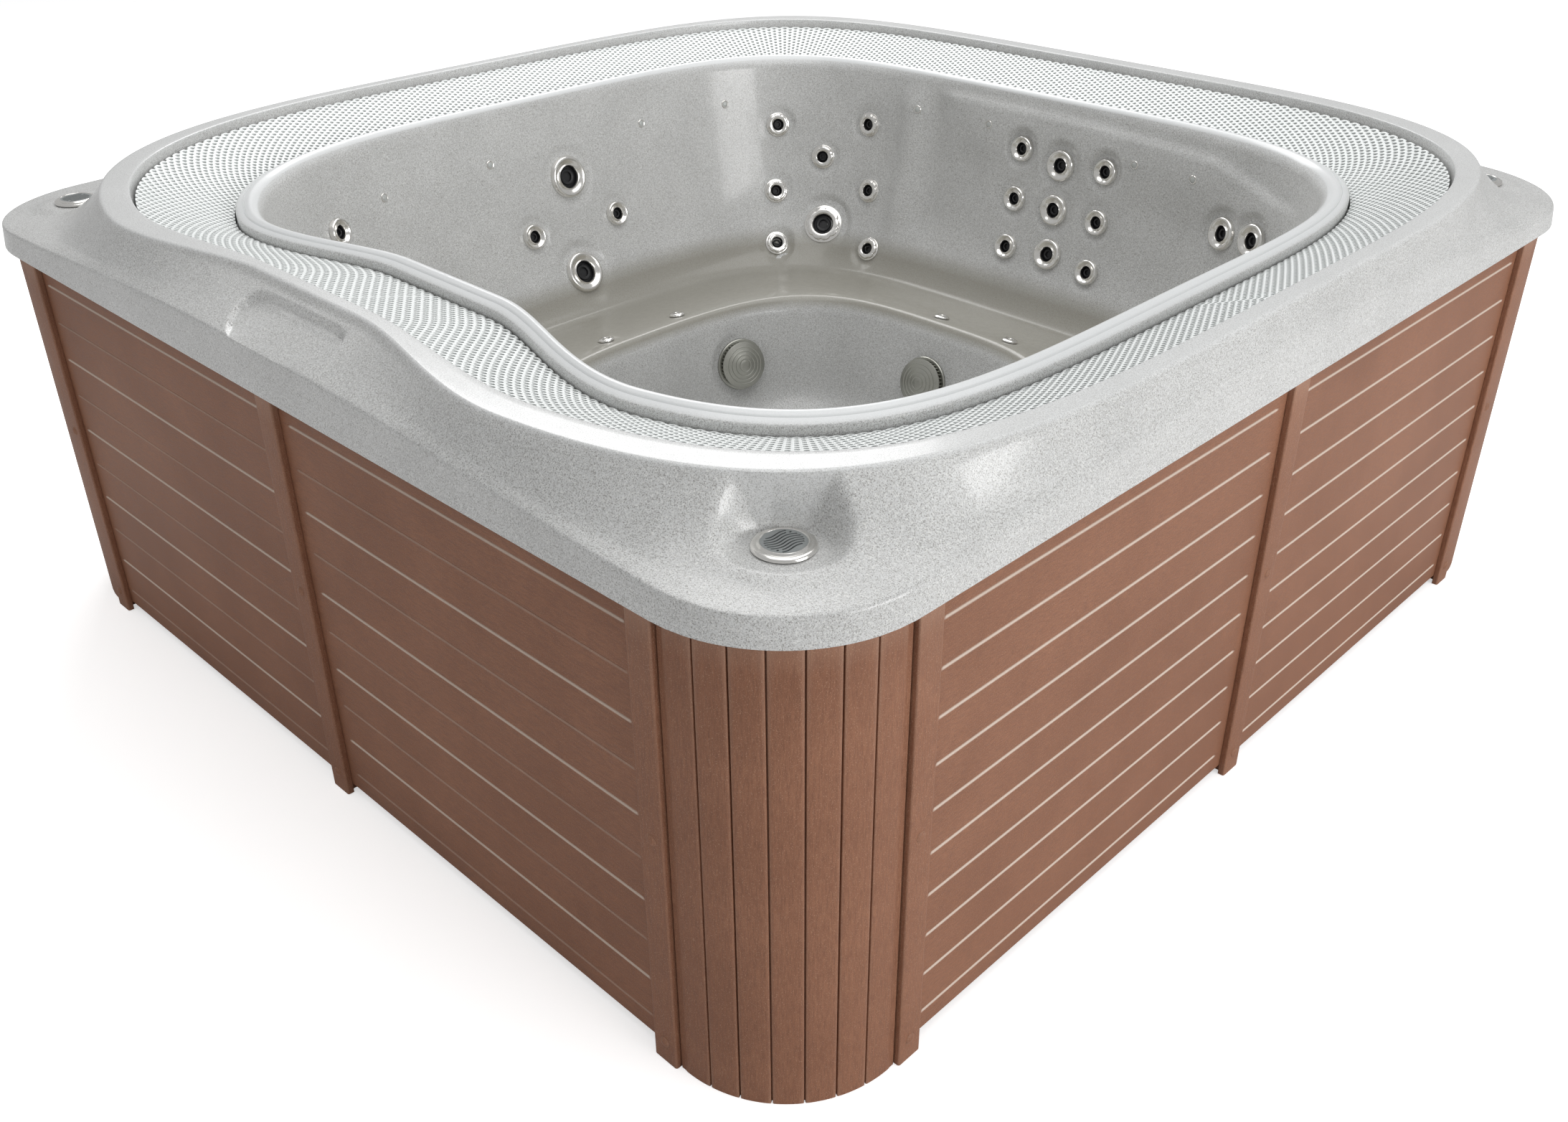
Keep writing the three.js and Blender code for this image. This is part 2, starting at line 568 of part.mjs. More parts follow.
function buildFrame() {
  const rails = [[TRAY_T + GAP, 60], [FRAME_TOP - RAIL, FRAME_TOP]].flatMap(([z0, z1]) => [
    block(-FRAME_X + 120, FRAME_X - 120, -FRAME_Y, -FRAME_Y + RAIL, z0, z1),
    block(-FRAME_X + 120, FRAME_X - 120, FRAME_Y - RAIL, FRAME_Y, z0, z1),
    block(-FRAME_X, -FRAME_X + RAIL, -FRAME_Y + 120, FRAME_Y - 120, z0, z1),
    block(FRAME_X - RAIL, FRAME_X, -FRAME_Y + 120, FRAME_Y - 120, z0, z1),
  ]);
  const posts = [-1, 1].flatMap((sx) => [-1, 1].flatMap((sy) => [
    block(...span(sx, FRAME_X - 190, FRAME_X - 140), ...span(sy, FRAME_Y - RAIL, FRAME_Y), 40, FRAME_TOP),
    block(...span(sx, FRAME_X - RAIL, FRAME_X), ...span(sy, FRAME_Y - 190, FRAME_Y - 140), 40, FRAME_TOP),
    // a tie across the corner joins the rails of two sides
    block(...span(sx, FRAME_X - 190, FRAME_X), ...span(sy, FRAME_Y - 190, FRAME_Y - 150), 40, 60),
    block(...span(sx, FRAME_X - 190, FRAME_X - 150), ...span(sy, FRAME_Y - 190, FRAME_Y), 40, 60),
  ]));
  // Bearers under the seats, from side to side.
  const bearers = [-1, 1].map((sy) => block(-FRAME_X + 5, FRAME_X - 5, ...span(sy, 640, 690), 300, 345));
  const bearerPosts = [-1, 1].flatMap((sx) => [-1, 1].map((sy) => (
    block(...span(sx, FRAME_X - RAIL, FRAME_X), ...span(sy, 645, 685), 40, FRAME_TOP))));
  add('frame', join([...rails, ...posts, ...bearers, ...bearerPosts]), COLOR.frame, 0.5, 0.8);
}

// The span between two distances from the middle, on the negative or the positive side.
function span(sign, near, far) {
  return sign > 0 ? [near, far] : [-far, -near];
}

function buildTray() {
  const outline = Array.from({ length: 40 }, (_, k) => {
    const angle = THREE.MathUtils.degToRad(k * 9 + 4.5);
    const r = roundedRectangle(CABINET_X - PANEL_T - 3, CABINET_Y - PANEL_T - 3, CORNER_R - 20, angle);
    return [r * Math.cos(angle), r * Math.sin(angle)];
  });
  const plinth = block(-240, 240, -270, 270, TRAY_T - 2, FLOOR_Z - SHELL_T - GAP);
  add('base_tray', join([prism(outline, 0, TRAY_T), plinth]), COLOR.tray, 0.6);
}

// A jet pump lying on the tray: motor, wet end and outlet, along X.
function pumpGeometry(x, y) {
  const axis = 145;
  const barrel = (radius, x0, x1) => new THREE.CylinderGeometry(radius, radius, x1 - x0, 16)
    .rotateZ(Math.PI / 2).translate(x + (x0 + x1) / 2, y, axis);
  const outlet = new THREE.CylinderGeometry(30, 30, 130, 12).rotateX(Math.PI / 2).translate(x + 165, y, axis + 100);
  const foot = block(x - 120, x + 60, y - 60, y + 60, TRAY_T + GAP, axis - 60);
  return join([barrel(72, -180, 110), barrel(95, 100, 210), barrel(30, 200, 270), outlet, foot]);
}

// The control pack: a flat box with the heater tube on its side.
function controlPackGeometry() {
  const box = block(-230, 230, -900, -780, TRAY_T + GAP, 262);
  const heater = new THREE.CylinderGeometry(38, 38, 420, 16).rotateZ(Math.PI / 2).translate(0, -752, 120);
  return join([box, heater]);
}

function buildEquipment() {
  add('jet_pump_left', pumpGeometry(-700, -780), COLOR.pump, 0.5);
  add('jet_pump_right', pumpGeometry(640, -780), COLOR.pump, 0.5);
  add('control_and_heater_pack', controlPackGeometry(), COLOR.pump, 0.5);
}

buildShell();
buildGrating();
buildFittings();
buildCabinet();
buildFrame();
buildTray();
buildEquipment();

export default group;
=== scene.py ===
"""Looks of a square overflow hot tub: speckled acrylic shell, white overflow grating, chromed jets and
fittings, and a brown slatted cabinet. Metres, +Z up, the front side at -Y."""

import json
import math

import bpy
import numpy as np
from mathutils import Matrix, Vector


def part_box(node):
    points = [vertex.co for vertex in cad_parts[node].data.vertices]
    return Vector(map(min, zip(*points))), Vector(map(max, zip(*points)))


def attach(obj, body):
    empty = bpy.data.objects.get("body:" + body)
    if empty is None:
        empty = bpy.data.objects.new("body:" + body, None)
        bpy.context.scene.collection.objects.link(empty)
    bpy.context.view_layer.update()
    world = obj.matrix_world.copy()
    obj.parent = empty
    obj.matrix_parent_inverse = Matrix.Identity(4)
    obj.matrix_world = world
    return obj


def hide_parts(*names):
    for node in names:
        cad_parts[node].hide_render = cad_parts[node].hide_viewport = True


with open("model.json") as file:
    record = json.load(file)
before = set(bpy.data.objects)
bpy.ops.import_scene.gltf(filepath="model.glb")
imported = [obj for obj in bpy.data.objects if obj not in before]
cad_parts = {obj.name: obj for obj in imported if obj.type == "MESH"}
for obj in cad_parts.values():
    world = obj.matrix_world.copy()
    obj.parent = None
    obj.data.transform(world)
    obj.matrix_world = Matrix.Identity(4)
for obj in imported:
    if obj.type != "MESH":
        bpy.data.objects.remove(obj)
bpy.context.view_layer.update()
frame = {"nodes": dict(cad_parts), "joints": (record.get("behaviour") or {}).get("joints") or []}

# ---- sizes, from the frame

SKIRT_X, SKIRT_Y, RIM_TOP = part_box("shell")[1]
CABINET_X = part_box("panel_right_a")[1].x
CABINET_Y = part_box("panel_back_a")[1].y
OVERHANG = SKIRT_X - CABINET_X
PANEL_T = 0.016
CORNER_R = 0.200
COVER_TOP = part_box("corner_cover_front_right")[1].z
SKIRT_BOTTOM = COVER_TOP + 0.0003
GRATE_T = 0.020
GRATE_OUT_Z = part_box("grating_back_left")[1].z
GRATE_IN_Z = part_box("grating_back_left")[0].z + GRATE_T
SHELL_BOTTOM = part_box("shell")[0].z

SHELL_T = 0.012
CHANNEL_FLOOR = 0.792
LEDGE = 0.014
LEDGE_PLAY = 0.0025
LIP_TOP = 0.857
CREST_Z, CREST_BOW = 0.812, 0.034
DECK_RISE, DECK_BOW = 0.012, 0.011
FLOOR_Z = SHELL_BOTTOM + SHELL_T

JOINTS = {j["child"]: j for j in frame["joints"]}
JETS = [name for name in JOINTS if name.startswith("jet_")]
SPEAKERS, SUCTIONS, INJECTORS, PANELS = (
    [name for name in frame["nodes"] if name.startswith(kind)]
    for kind in ("speaker_", "suction_", "air_injector_", "panel_"))


# ---- plan curves: distance from the middle by angle

def smooth(t):
    u = np.clip(t, 0, 1)
    return u * u * (3 - 2 * u)


def squircle(a, b, squareness, t):
    """A rounded square, whose corners are squarer or rounder by the direction they face."""
    n = squareness * (1.0245 - 0.0855 * np.sin(2 * t) + 0.081 * np.cos(t - math.pi / 4))
    return ((np.abs(np.cos(t)) / a) ** n + (np.abs(np.sin(t)) / b) ** n) ** (-1 / n)


def rounded_rectangle(hx, hy, radius, t):
    c, s = np.abs(np.cos(t)) + 1e-12, np.abs(np.sin(t)) + 1e-12
    cx, cy = hx - radius, hy - radius
    along = c * cx + s * cy
    corner = along + np.sqrt(np.maximum(along ** 2 - (cx ** 2 + cy ** 2 - radius ** 2), 0))
    return np.where(s * hx <= c * cy, hx / c, np.where(c * hy <= s * cx, hy / s, corner))


WAVE_HALF, WAVE_RAMP, WAVE_REACH = 0.570, 0.420, 1.100


def wave(radius, depth, t):
    """The front side's rim and pool edge curve in, as a wave about a metre long."""
    blend = smooth((WAVE_HALF - np.abs(radius * np.cos(t))) / WAVE_RAMP)
    return np.where(np.sin(t) < 0, radius * (1 - depth / WAVE_REACH * blend), radius)


def ring(curve, t):
    a, b, squareness, depth = curve
    return wave(squircle(a, b, squareness, t), depth, t)


def beyond(curve, x, y):
    """How far outside a plan curve points lie, seen from the middle."""
    return np.hypot(x, y) - ring(curve, np.arctan2(y, x))


def skirt(t, inset=0.0):
    return rounded_rectangle(SKIRT_X - inset, SKIRT_Y - inset, CORNER_R + OVERHANG - inset, t)


def bow(t):
    """0 at the corners and 1 at the middle of each side."""
    return 1 - np.abs(np.sin(2 * t)) ** 3


def crest_z(t):
    return CREST_Z + CREST_BOW * bow(t)


def deck_z(t):
    return crest_z(t) + DECK_RISE + DECK_BOW * bow(t)


# Plan curves: half width, half depth, squareness and depth of the wave.
RIM = (1.104, 1.127, 4.0, 0.076)
GRATE = (1.060, 1.066, 4.0, 0.055)
LIP = (0.912, 0.915, 4.0, 0.125)
# The pool wall's curves, each after its height.
WALL = np.array([
    (0.846, 0.870, 0.873, 4.0, 0.125),
    (0.745, 0.850, 0.858, 4.0, 0.088),
    (0.600, 0.815, 0.836, 4.0, 0.038),
    (0.480, 0.775, 0.800, 3.9, 0.010),
    (0.400, 0.735, 0.758, 3.8, 0.000),
])
SEAT_FOOT = (0.368, (0.700, 0.722, 3.6, 0))
SEAT = [(0.366, (0.620, 0.650, 3.4, 0)), (0.394, (0.480, 0.545, 3.0, 0))]
FOOTWELL = [(0.398, (0.455, 0.518, 3.0, 0)), (0.372, (0.440, 0.503, 3.0, 0)),
            (0.165, (0.400, 0.445, 3.0, 0)), (FLOOR_Z, (0.350, 0.395, 2.8, 0))]


def wall_curve(z):
    """The wall's plan curve at a height, smooth through the heights of WALL."""
    heights, values = WALL[:, 0], WALL[:, 1:]
    slopes = np.gradient(values, heights, axis=0)
    i = int(np.clip(np.searchsorted(-heights, -z) - 1, 0, len(heights) - 2))
    step = heights[i + 1] - heights[i]
    u = (z - heights[i]) / step
    return (values[i] * (1 + 2 * u) * (1 - u) ** 2 + slopes[i] * step * u * (1 - u) ** 2
            + values[i + 1] * u * u * (3 - 2 * u) - slopes[i + 1] * step * u * u * (1 - u))


# ---- mesh helpers

def new_object(name, data):
    made = bpy.data.objects.new(name, data)
    bpy.context.scene.collection.objects.link(made)
    return made


def mesh_piece(name, points, faces, materials, indices=None, sharp=35):
    mesh = bpy.data.meshes.new(name)
    mesh.from_pydata([tuple(p) for p in points], [], [tuple(f) for f in faces])
    for material in materials:
        mesh.materials.append(material)
    if indices is not None:
        mesh.polygons.foreach_set("material_index", np.asarray(indices, dtype=np.int32))
    mesh.polygons.foreach_set("use_smooth", np.ones(len(mesh.polygons), dtype=bool))
    mesh.set_sharp_from_angle(angle=math.radians(sharp))
    mesh.update()
    return new_object(name, mesh)


class Solid:
    """Points, faces and material indices gathered for one piece."""

    def __init__(self):
        self.points, self.faces, self.indices = [], [], []

    def add(self, points, faces, index=0, matrix=None):
        first = len(self.points)
        if matrix is not None:
            points = [matrix @ Vector(p) for p in points]
        self.points += [tuple(p) for p in points]
        self.faces += [tuple(first + i for i in face) for face in faces]
        self.indices += list(index) if np.iterable(index) else [index] * len(faces)
        return self

    def piece(self, name, materials, sharp=35):
        return mesh_piece(name, self.points, self.faces, materials, self.indices, sharp)


def lathe(profile, segments=48, lobes=0, lobe_depth=0.0):
    """A turned solid about +Z. The profile lists, in millimetres from the axis at the front round to
    the axis at the back, (radius, height, material index of the band that follows, share of the lobes);
    the last two are 0 when left out."""
    points, rows, bands = [], [], []
    turns = np.linspace(0, 2 * math.pi, segments, endpoint=False)
    for entry in profile:
        radius, height, band, share = (*entry, 0, 0)[:4]
        bands.append(band)
        if radius == 0:
            rows.append([len(points)] * segments)
            points.append((0, 0, 0.001 * height))
            continue
        dent = 1 - share * lobe_depth * (1 - np.abs(np.cos(lobes * turns / 2)) ** 0.7) if lobes else 1
        rows.append(list(range(len(points), len(points) + segments)))
        r = 0.001 * radius * dent * np.ones(segments)
        points += list(zip(r * np.cos(turns), r * np.sin(turns), np.full(segments, 0.001 * height)))
    faces, indices = [], []
    for k in range(len(rows) - 1):
        for i in range(segments):
            j = (i + 1) % segments
            faces.append(list(dict.fromkeys((rows[k][i], rows[k + 1][i], rows[k + 1][j], rows[k][j]))))
            indices.append(bands[k])
    return points, faces, indices


def prism(outline, levels):
    """A closed solid of a plan outline, counter-clockwise, with rings of points at the given heights."""
    n = len(outline)
    points = [(x, y, z) for z in levels for x, y in outline]
    faces = [(k * n + i, k * n + (i + 1) % n, (k + 1) * n + (i + 1) % n, (k + 1) * n + i)
             for k in range(len(levels) - 1) for i in range(n)]
    first = (len(levels) - 1) * n
    return points, faces + [tuple(range(n))[::-1], tuple(range(first, first + n))]


def placed(piece, position, axis):
    """Moves the piece to a position, with its own +Z along the axis."""
    facing = Vector(axis).to_track_quat("Z", "Y").to_matrix().to_4x4()
    piece.matrix_world = Matrix.Translation(position) @ facing
    return piece


def tint(piece, name, values):
    """Writes a number for each vertex, for the piece's material to read."""
    full = np.zeros(len(piece.data.vertices), dtype=np.float32)
    full[:len(values)] = values
    piece.data.attributes.new(name, "FLOAT", "POINT").data.foreach_set("value", full)


def fitted(piece, body, slot, *nodes):
    """Rides the piece on its body, in place of its CAD nodes. The slot is not used."""
    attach(piece, body)
    if nodes:
        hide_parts(*nodes)
    return piece


# ---- materials

class Nodes:
    """Short calls for building one material's node tree."""

    def __init__(self, name, **surface):
        self.material = bpy.data.materials.new(name)
        self.material.use_nodes = True
        self.tree = self.material.node_tree
        self.surface = self.tree.nodes["Principled BSDF"]
        for socket, value in surface.items():
            self.surface.inputs[socket.replace("_", " ")].default_value = value
        self.place = self.add("TexCoord", "Object", {})

    def add(self, kind, output, inputs, **settings):
        """An output of a new node, whose inputs are values or other nodes' outputs."""
        node = self.tree.nodes.new("ShaderNode" + kind)
        for setting, value in settings.items():
            setattr(node, setting, value)
        for socket, value in inputs.items():
            if isinstance(value, bpy.types.NodeSocket):
                self.tree.links.new(value, node.inputs[socket])
            else:
                node.inputs[socket].default_value = value
        return node.outputs[output]

    def noise(self, scale, detail=2, roughness=0.5, vector=None):
        return self.add("TexNoise", 0, {
            "Vector": vector or self.place, "Scale": scale, "Detail": detail, "Roughness": roughness})

    def stretched(self, scale):
        return self.add("Mapping", 0, {"Vector": self.place, "Scale": scale})

    def remap(self, value, low, high, to_low=0.0, to_high=1.0):
        return self.add("MapRange", 0, {
            "Value": value, "From Min": low, "From Max": high, "To Min": to_low, "To Max": to_high})

    def mix(self, amount, a, b):
        return self.add("Mix", "Result", {"Factor": amount, "A": a, "B": b}, data_type="RGBA")

    def attribute(self, name):
        return self.add("Attribute", "Fac", {}, attribute_name=name)

    def bump(self, height, distance, strength):
        inputs = {"Height": height, "Distance": distance, "Strength": strength}
        self.set("Normal", self.add("Bump", 0, inputs))

    def roughness(self, value, low, high):
        self.set("Roughness", self.remap(value, 0.3, 0.7, low, high))

    def set(self, socket, value):
        self.tree.links.new(value, self.surface.inputs[socket])


def rgb(r, g, b):
    return (r, g, b, 1.0)


def acrylic():
    """Granite-speckled acrylic: dark and light flecks of 2 to 4 mm in a light grey, under a gloss."""
    n = Nodes("acrylic", Coat_Weight=0.45, Coat_Roughness=0.13, Specular_IOR_Level=0.45)
    grain = n.noise(620, 2, 0.6)
    flecks = n.noise(400, 2, 0.5)
    clumps = n.noise(230, 2, 0.5)
    cloud = n.noise(7, 2, 0.5)
    base = n.mix(n.remap(cloud, 0.35, 0.65), rgb(0.585, 0.59, 0.585), rgb(0.645, 0.65, 0.645))
    base = n.mix(n.remap(clumps, 0.40, 0.52, 0.25, 0.0), base, rgb(0.36, 0.35, 0.335))
    base = n.mix(n.remap(grain, 0.36, 0.50, 0.85, 0.0), base, rgb(0.235, 0.225, 0.21))
    base = n.mix(n.remap(flecks, 0.56, 0.64, 0.0, 0.50), base, rgb(0.80, 0.80, 0.77))
    # Painted shade: the seats and the foot of the wall are darkened to a warm grey, where shade falls.
    base = n.mix(n.remap(n.attribute("seat_and_foot_shade"), 0, 1, 0.0, 0.80), base, rgb(0.27, 0.255, 0.21))
    # Painted highlight: the flange and the lip's bead are made paler, where light catches their tops.
    base = n.mix(n.remap(n.attribute("pale"), 0, 1, 0.0, 0.88), base, rgb(0.74, 0.755, 0.76))
    n.set("Base Color", base)
    n.roughness(n.noise(60, 3, 0.6), 0.28, 0.40)
    n.bump(grain, 0.0002, 0.12)
    return n.material


def white_plastic():
    """White plastic, with painted shade darkening it down in the openings."""
    n = Nodes("grating_plastic", Specular_IOR_Level=0.5)
    white = n.mix(n.noise(14, 3), rgb(0.80, 0.83, 0.82), rgb(0.87, 0.89, 0.885))
    # Painted shade: the openings darken with depth, where shade falls down in them.
    depth = n.remap(n.attribute("shade_depth"), 0.02, 0.30, 0.0, 0.9)
    n.set("Base Color", n.mix(depth, white, rgb(0.16, 0.19, 0.18)))
    n.roughness(n.noise(90, 3), 0.36, 0.52)
    n.bump(n.noise(1400, 2), 0.0001, 0.2)
    return n.material


def finish(name, dark, light, clouds, gloss, rough, bump=None, stretch=None, **surface):
    """A plain finish. clouds, gloss and the bump's first value are the settings of the noise that
    varies the colour, the roughness and the height."""
    n = Nodes(name, **surface)
    vector = n.stretched(stretch) if stretch else None
    n.set("Base Color", n.mix(n.noise(*clouds, vector=vector), rgb(*dark), rgb(*light)))
    n.roughness(n.noise(*gloss, vector=vector), *rough)
    if bump:
        grain, distance, strength = bump
        n.bump(n.noise(*grain, vector=vector), distance, strength)
    return n.material


def composite(name, stretch):
    """Brown wood-look composite with a fine leathery grain, drawn out along the board."""
    n = Nodes(name, Specular_IOR_Level=0.28)
    grain = n.noise(420, 4, 0.65, n.stretched(stretch))
    pores = n.add("TexVoronoi", "Distance", {"Vector": n.place, "Scale": 520})
    edges = n.remap(n.add("NewGeometry", "Pointiness", {}), 0.52, 0.60, 0.0, 0.45)
    base = n.mix(n.remap(n.noise(5, 3, 0.6), 0.3, 0.7), rgb(0.255, 0.113, 0.063), rgb(0.325, 0.150, 0.086))
    base = n.mix(n.remap(grain, 0.35, 0.65, 0.60, 0.0), base, rgb(0.165, 0.068, 0.038))
    base = n.mix(n.remap(n.noise(700, 2), 0.58, 0.70, 0.0, 0.5), base, rgb(0.50, 0.31, 0.21))
    base = n.mix(edges, base, rgb(0.55, 0.36, 0.26))
    # Painted highlight: the grooves' lower edges are lightened, where light catches them.
    base = n.mix(n.remap(n.attribute("groove_highlight"), 0, 1, 0.0, 0.85), base, rgb(0.80, 0.68, 0.58))
    n.set("Base Color", base)
    n.roughness(grain, 0.44, 0.62)
    n.bump(n.add("Math", 0, {0: pores, 1: 0.6, 2: grain}, operation="MULTIPLY_ADD"), 0.0007, 0.6)
    return n.material


def rough_solid(name, dark, light, scale, roughness, stretch=(1, 1, 1), **surface):
    """A plain painted, cast or sawn surface."""
    grain = (scale, 5, 0.65)
    rough = (roughness - 0.1, roughness + 0.1)
    return finish(name, dark, light, grain, grain, rough, (grain, 0.001, 0.3), stretch, **surface)


ACRYLIC = acrylic()
PLASTIC = white_plastic()
CHROME = finish("chrome", (0.80, 0.78, 0.74), (0.88, 0.87, 0.85), (55, 3), (160, 4, 0.7), (0.13, 0.24),
                ((900, 3, 0.7), 0.00005, 0.1), Metallic=1.0)
BORE = finish("jet_bore", (0.006, 0.006, 0.007), (0.016, 0.016, 0.018), (240, 3), (300, 3), (0.35, 0.55))
STEEL = finish("brushed_steel", (0.36, 0.36, 0.32), (0.52, 0.52, 0.48), (900, 3, 0.6), (900, 3, 0.6),
               (0.25, 0.42), ((900, 3, 0.6), 0.0001, 0.25), Metallic=1.0)
GRILLE = finish("grille_grey", (0.20, 0.215, 0.215), (0.27, 0.285, 0.285), (80, 3), (500, 3), (0.38, 0.55),
                ((1500, 2), 0.0001, 0.3))
LENS = finish("lamp_lens", (0.62, 0.64, 0.62), (0.72, 0.74, 0.72), (120, 2), (400, 2), (0.12, 0.22),
              Transmission_Weight=0.35, Coat_Weight=0.6)
BOARD_ALONG_X = composite("cabinet_board_x", (0.16, 1, 1))
BOARD_ALONG_Y = composite("cabinet_board_y", (1, 0.16, 1))
BOARD_UPRIGHT = composite("cabinet_upright", (1, 1, 0.12))


# ---- shell

RECESS_MIDDLE = 0.022


def outline_of(node):
    """The axis point, axis and face radius of a turned CAD node that has a joint."""
    joint = JOINTS[node]
    centre, axis = Vector(joint["pos_m"]), Vector(joint["axis"]).normalized()
    offsets = [v.co - centre for v in frame["nodes"][node].data.vertices]
    radius = max((o - axis * o.dot(axis)).length for o in offsets)
    return centre, axis, radius


def column_angles():
    """Angles of the shell's columns: close together at the jets, the recess and the speakers."""
    spots = []
    for name in JETS:
        centre, _, face = outline_of(name)
        spots.append((math.atan2(centre.y, centre.x), 1.9 * face / centre.to_2d().length, 0.0056))
    spots.append((math.atan2(-1, RECESS_MIDDLE), 0.128, 0.0027))
    for name in SPEAKERS:
        lo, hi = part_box(name)
        middle = (lo + hi) / 2
        spots.append((math.atan2(middle.y, middle.x), 0.055, 0.0045))
    t = np.linspace(0, 2 * math.pi, 7201)
    density = np.full(t.shape, 1 / 0.0155)
    for angle, half, spacing in spots:
        away = np.abs((t - angle + math.pi) % (2 * math.pi) - math.pi)
        inside = smooth((half + 0.02 - away) / 0.02)
        density = np.maximum(density, 1 / 0.0155 + (1 / spacing - 1 / 0.0155) * inside)
    total = np.concatenate([[0], np.cumsum((density[1:] + density[:-1]) / 2 * np.diff(t))])
    count = int(round(total[-1]))
    return np.interp(np.arange(count) / count * total[-1], total, t)


def side_by_side(profile, columns):
    """Each (radius, height) of a profile as one pair for every column."""
    return [np.stack([np.broadcast_to(r, columns), np.broadcast_to(z, columns)], 1) for r, z in profile]


def rounded_rows(controls):
    """Rows of points along a profile. Each control is (radius, height, steps in the run up to it) or
    (radius, height, steps, rounding before, rounding after, steps in the bend), and its radius,
    height and roundings may differ by column."""
    columns = len(controls[0][0])
    corner = side_by_side([control[:2] for control in controls], columns)
    rows = [corner[0]]
    for k in range(1, len(corner)):
        runs, before, after, bends = (*controls[k][2:], 0, 0, 0)[:4]
        here = corner[k]
        back = corner[k - 1] - here
        back_length = np.linalg.norm(back, axis=1)[:, None]
        start = here
        if bends:
            ahead = corner[k + 1] - here
            ahead_length = np.linalg.norm(ahead, axis=1)[:, None]
            into = np.minimum(np.broadcast_to(before, columns)[:, None], 0.48 * back_length)
            out = np.minimum(np.broadcast_to(after, columns)[:, None], 0.9 * ahead_length)
            start = here + back / back_length * into
            stop = here + ahead / ahead_length * out
        last = rows[-1]
        rows += [last + (start - last) * s / runs for s in range(1, runs + 1)]
        for s in range(1, bends + 1):
            u = s / bends
            rows.append((1 - u) ** 2 * start + 2 * u * (1 - u) * here + u * u * stop)
    return rows


def upper_controls(t):
    """The seen side's profile, from the foot of the skirt over the rim, the grating's channel and the
    pool's lip, down the wall to the middle of the footwell."""
    rim, grate, lip = ring(RIM, t), ring(GRATE, t), ring(LIP, t)
    crest = skirt(t, 0.004)
    deck_in = rim + np.minimum(0.060, 0.5 * (crest - rim))
    crest_round = 0.014 - 0.010 * smooth((-np.sin(t) - 0.55) / 0.2)
    cove = np.hypot(deck_in - rim, RIM_TOP - 0.012 - deck_z(t))
    ledge_out = GRATE_OUT_Z - GRATE_T - LEDGE_PLAY
    ledge_in = GRATE_IN_Z - GRATE_T - LEDGE_PLAY
    controls = [
        (skirt(t), SKIRT_BOTTOM, 0),
        (crest - 0.001, crest_z(t) + 0.001, 5, crest_round, crest_round, 6),
        (deck_in, deck_z(t), 7, 0.45 * (crest - deck_in), 0.82 * cove, 18),
        (rim, RIM_TOP - 0.012, 4, 0.004, 0.006, 3),
        (rim - 0.009, RIM_TOP, 1, 0.004, 0.005, 5),
        (grate + 0.004, RIM_TOP, 4, 0.003, 0.003, 3),
        (grate + 0.001, ledge_out, 5),
        (grate - LEDGE, ledge_out - 0.004, 1),
        (grate - LEDGE, CHANNEL_FLOOR, 3, 0.012, 0.012, 3),
        (lip + LEDGE, CHANNEL_FLOOR, 5, 0.012, 0.012, 3),
        (lip + LEDGE, ledge_in + 0.004, 1),
        (lip, ledge_in, 1),
        (lip - 0.001, LIP_TOP - 0.009, 5, 0.004, 0.004, 4),
        (lip - 0.0145, LIP_TOP - 0.0035, 2),
        (lip - 0.0155, LIP_TOP - 0.0047, 1),
        (lip - 0.0170, LIP_TOP - 0.0022, 1),
        (lip - 0.029, LIP_TOP + 0.003, 2, 0.008, 0.006, 5),
        (lip - 0.040, LIP_TOP - 0.004, 1, 0.006, 0.005, 5),
    ]
    for z in np.concatenate([np.arange(0.838, 0.742, -0.0085), np.arange(0.742, 0.428, -0.0066)]):
        controls.append((ring(wall_curve(z), t), z, 1))
    foot_z, foot_curve = SEAT_FOOT
    (seat_z, seat_curve), (edge_z, edge_curve) = SEAT
    (nose_z, nose), (under_z, under), (low_z, low), (floor_z, floor) = FOOTWELL
    controls += [
        (ring(wall_curve(0.394), t), 0.394, 1, 0.020, 0.016, 3),
        (ring(foot_curve, t), foot_z - 0.004, 1, 0.020, 0.030, 6),
        (ring(seat_curve, t), seat_z + 0.001, 3, 0.030, 0.040, 4),
        (ring(edge_curve, t), edge_z + 0.002, 6, 0.020, 0.012, 3),
        (ring(nose, t) + 0.002, nose_z, 1, 0.012, 0.012, 5),
        (ring(under, t), under_z, 1, 0.010, 0.010, 2),
        (ring(low, t), low_z, 22, 0.040, 0.035, 6),
        (ring(floor, t) - 0.01, floor_z, 1, 0.030, 0.050, 6),
        (0.4 * ring(floor, t), floor_z, 6),
        (0.04 * ring(floor, t), floor_z, 4),
    ]
    return controls


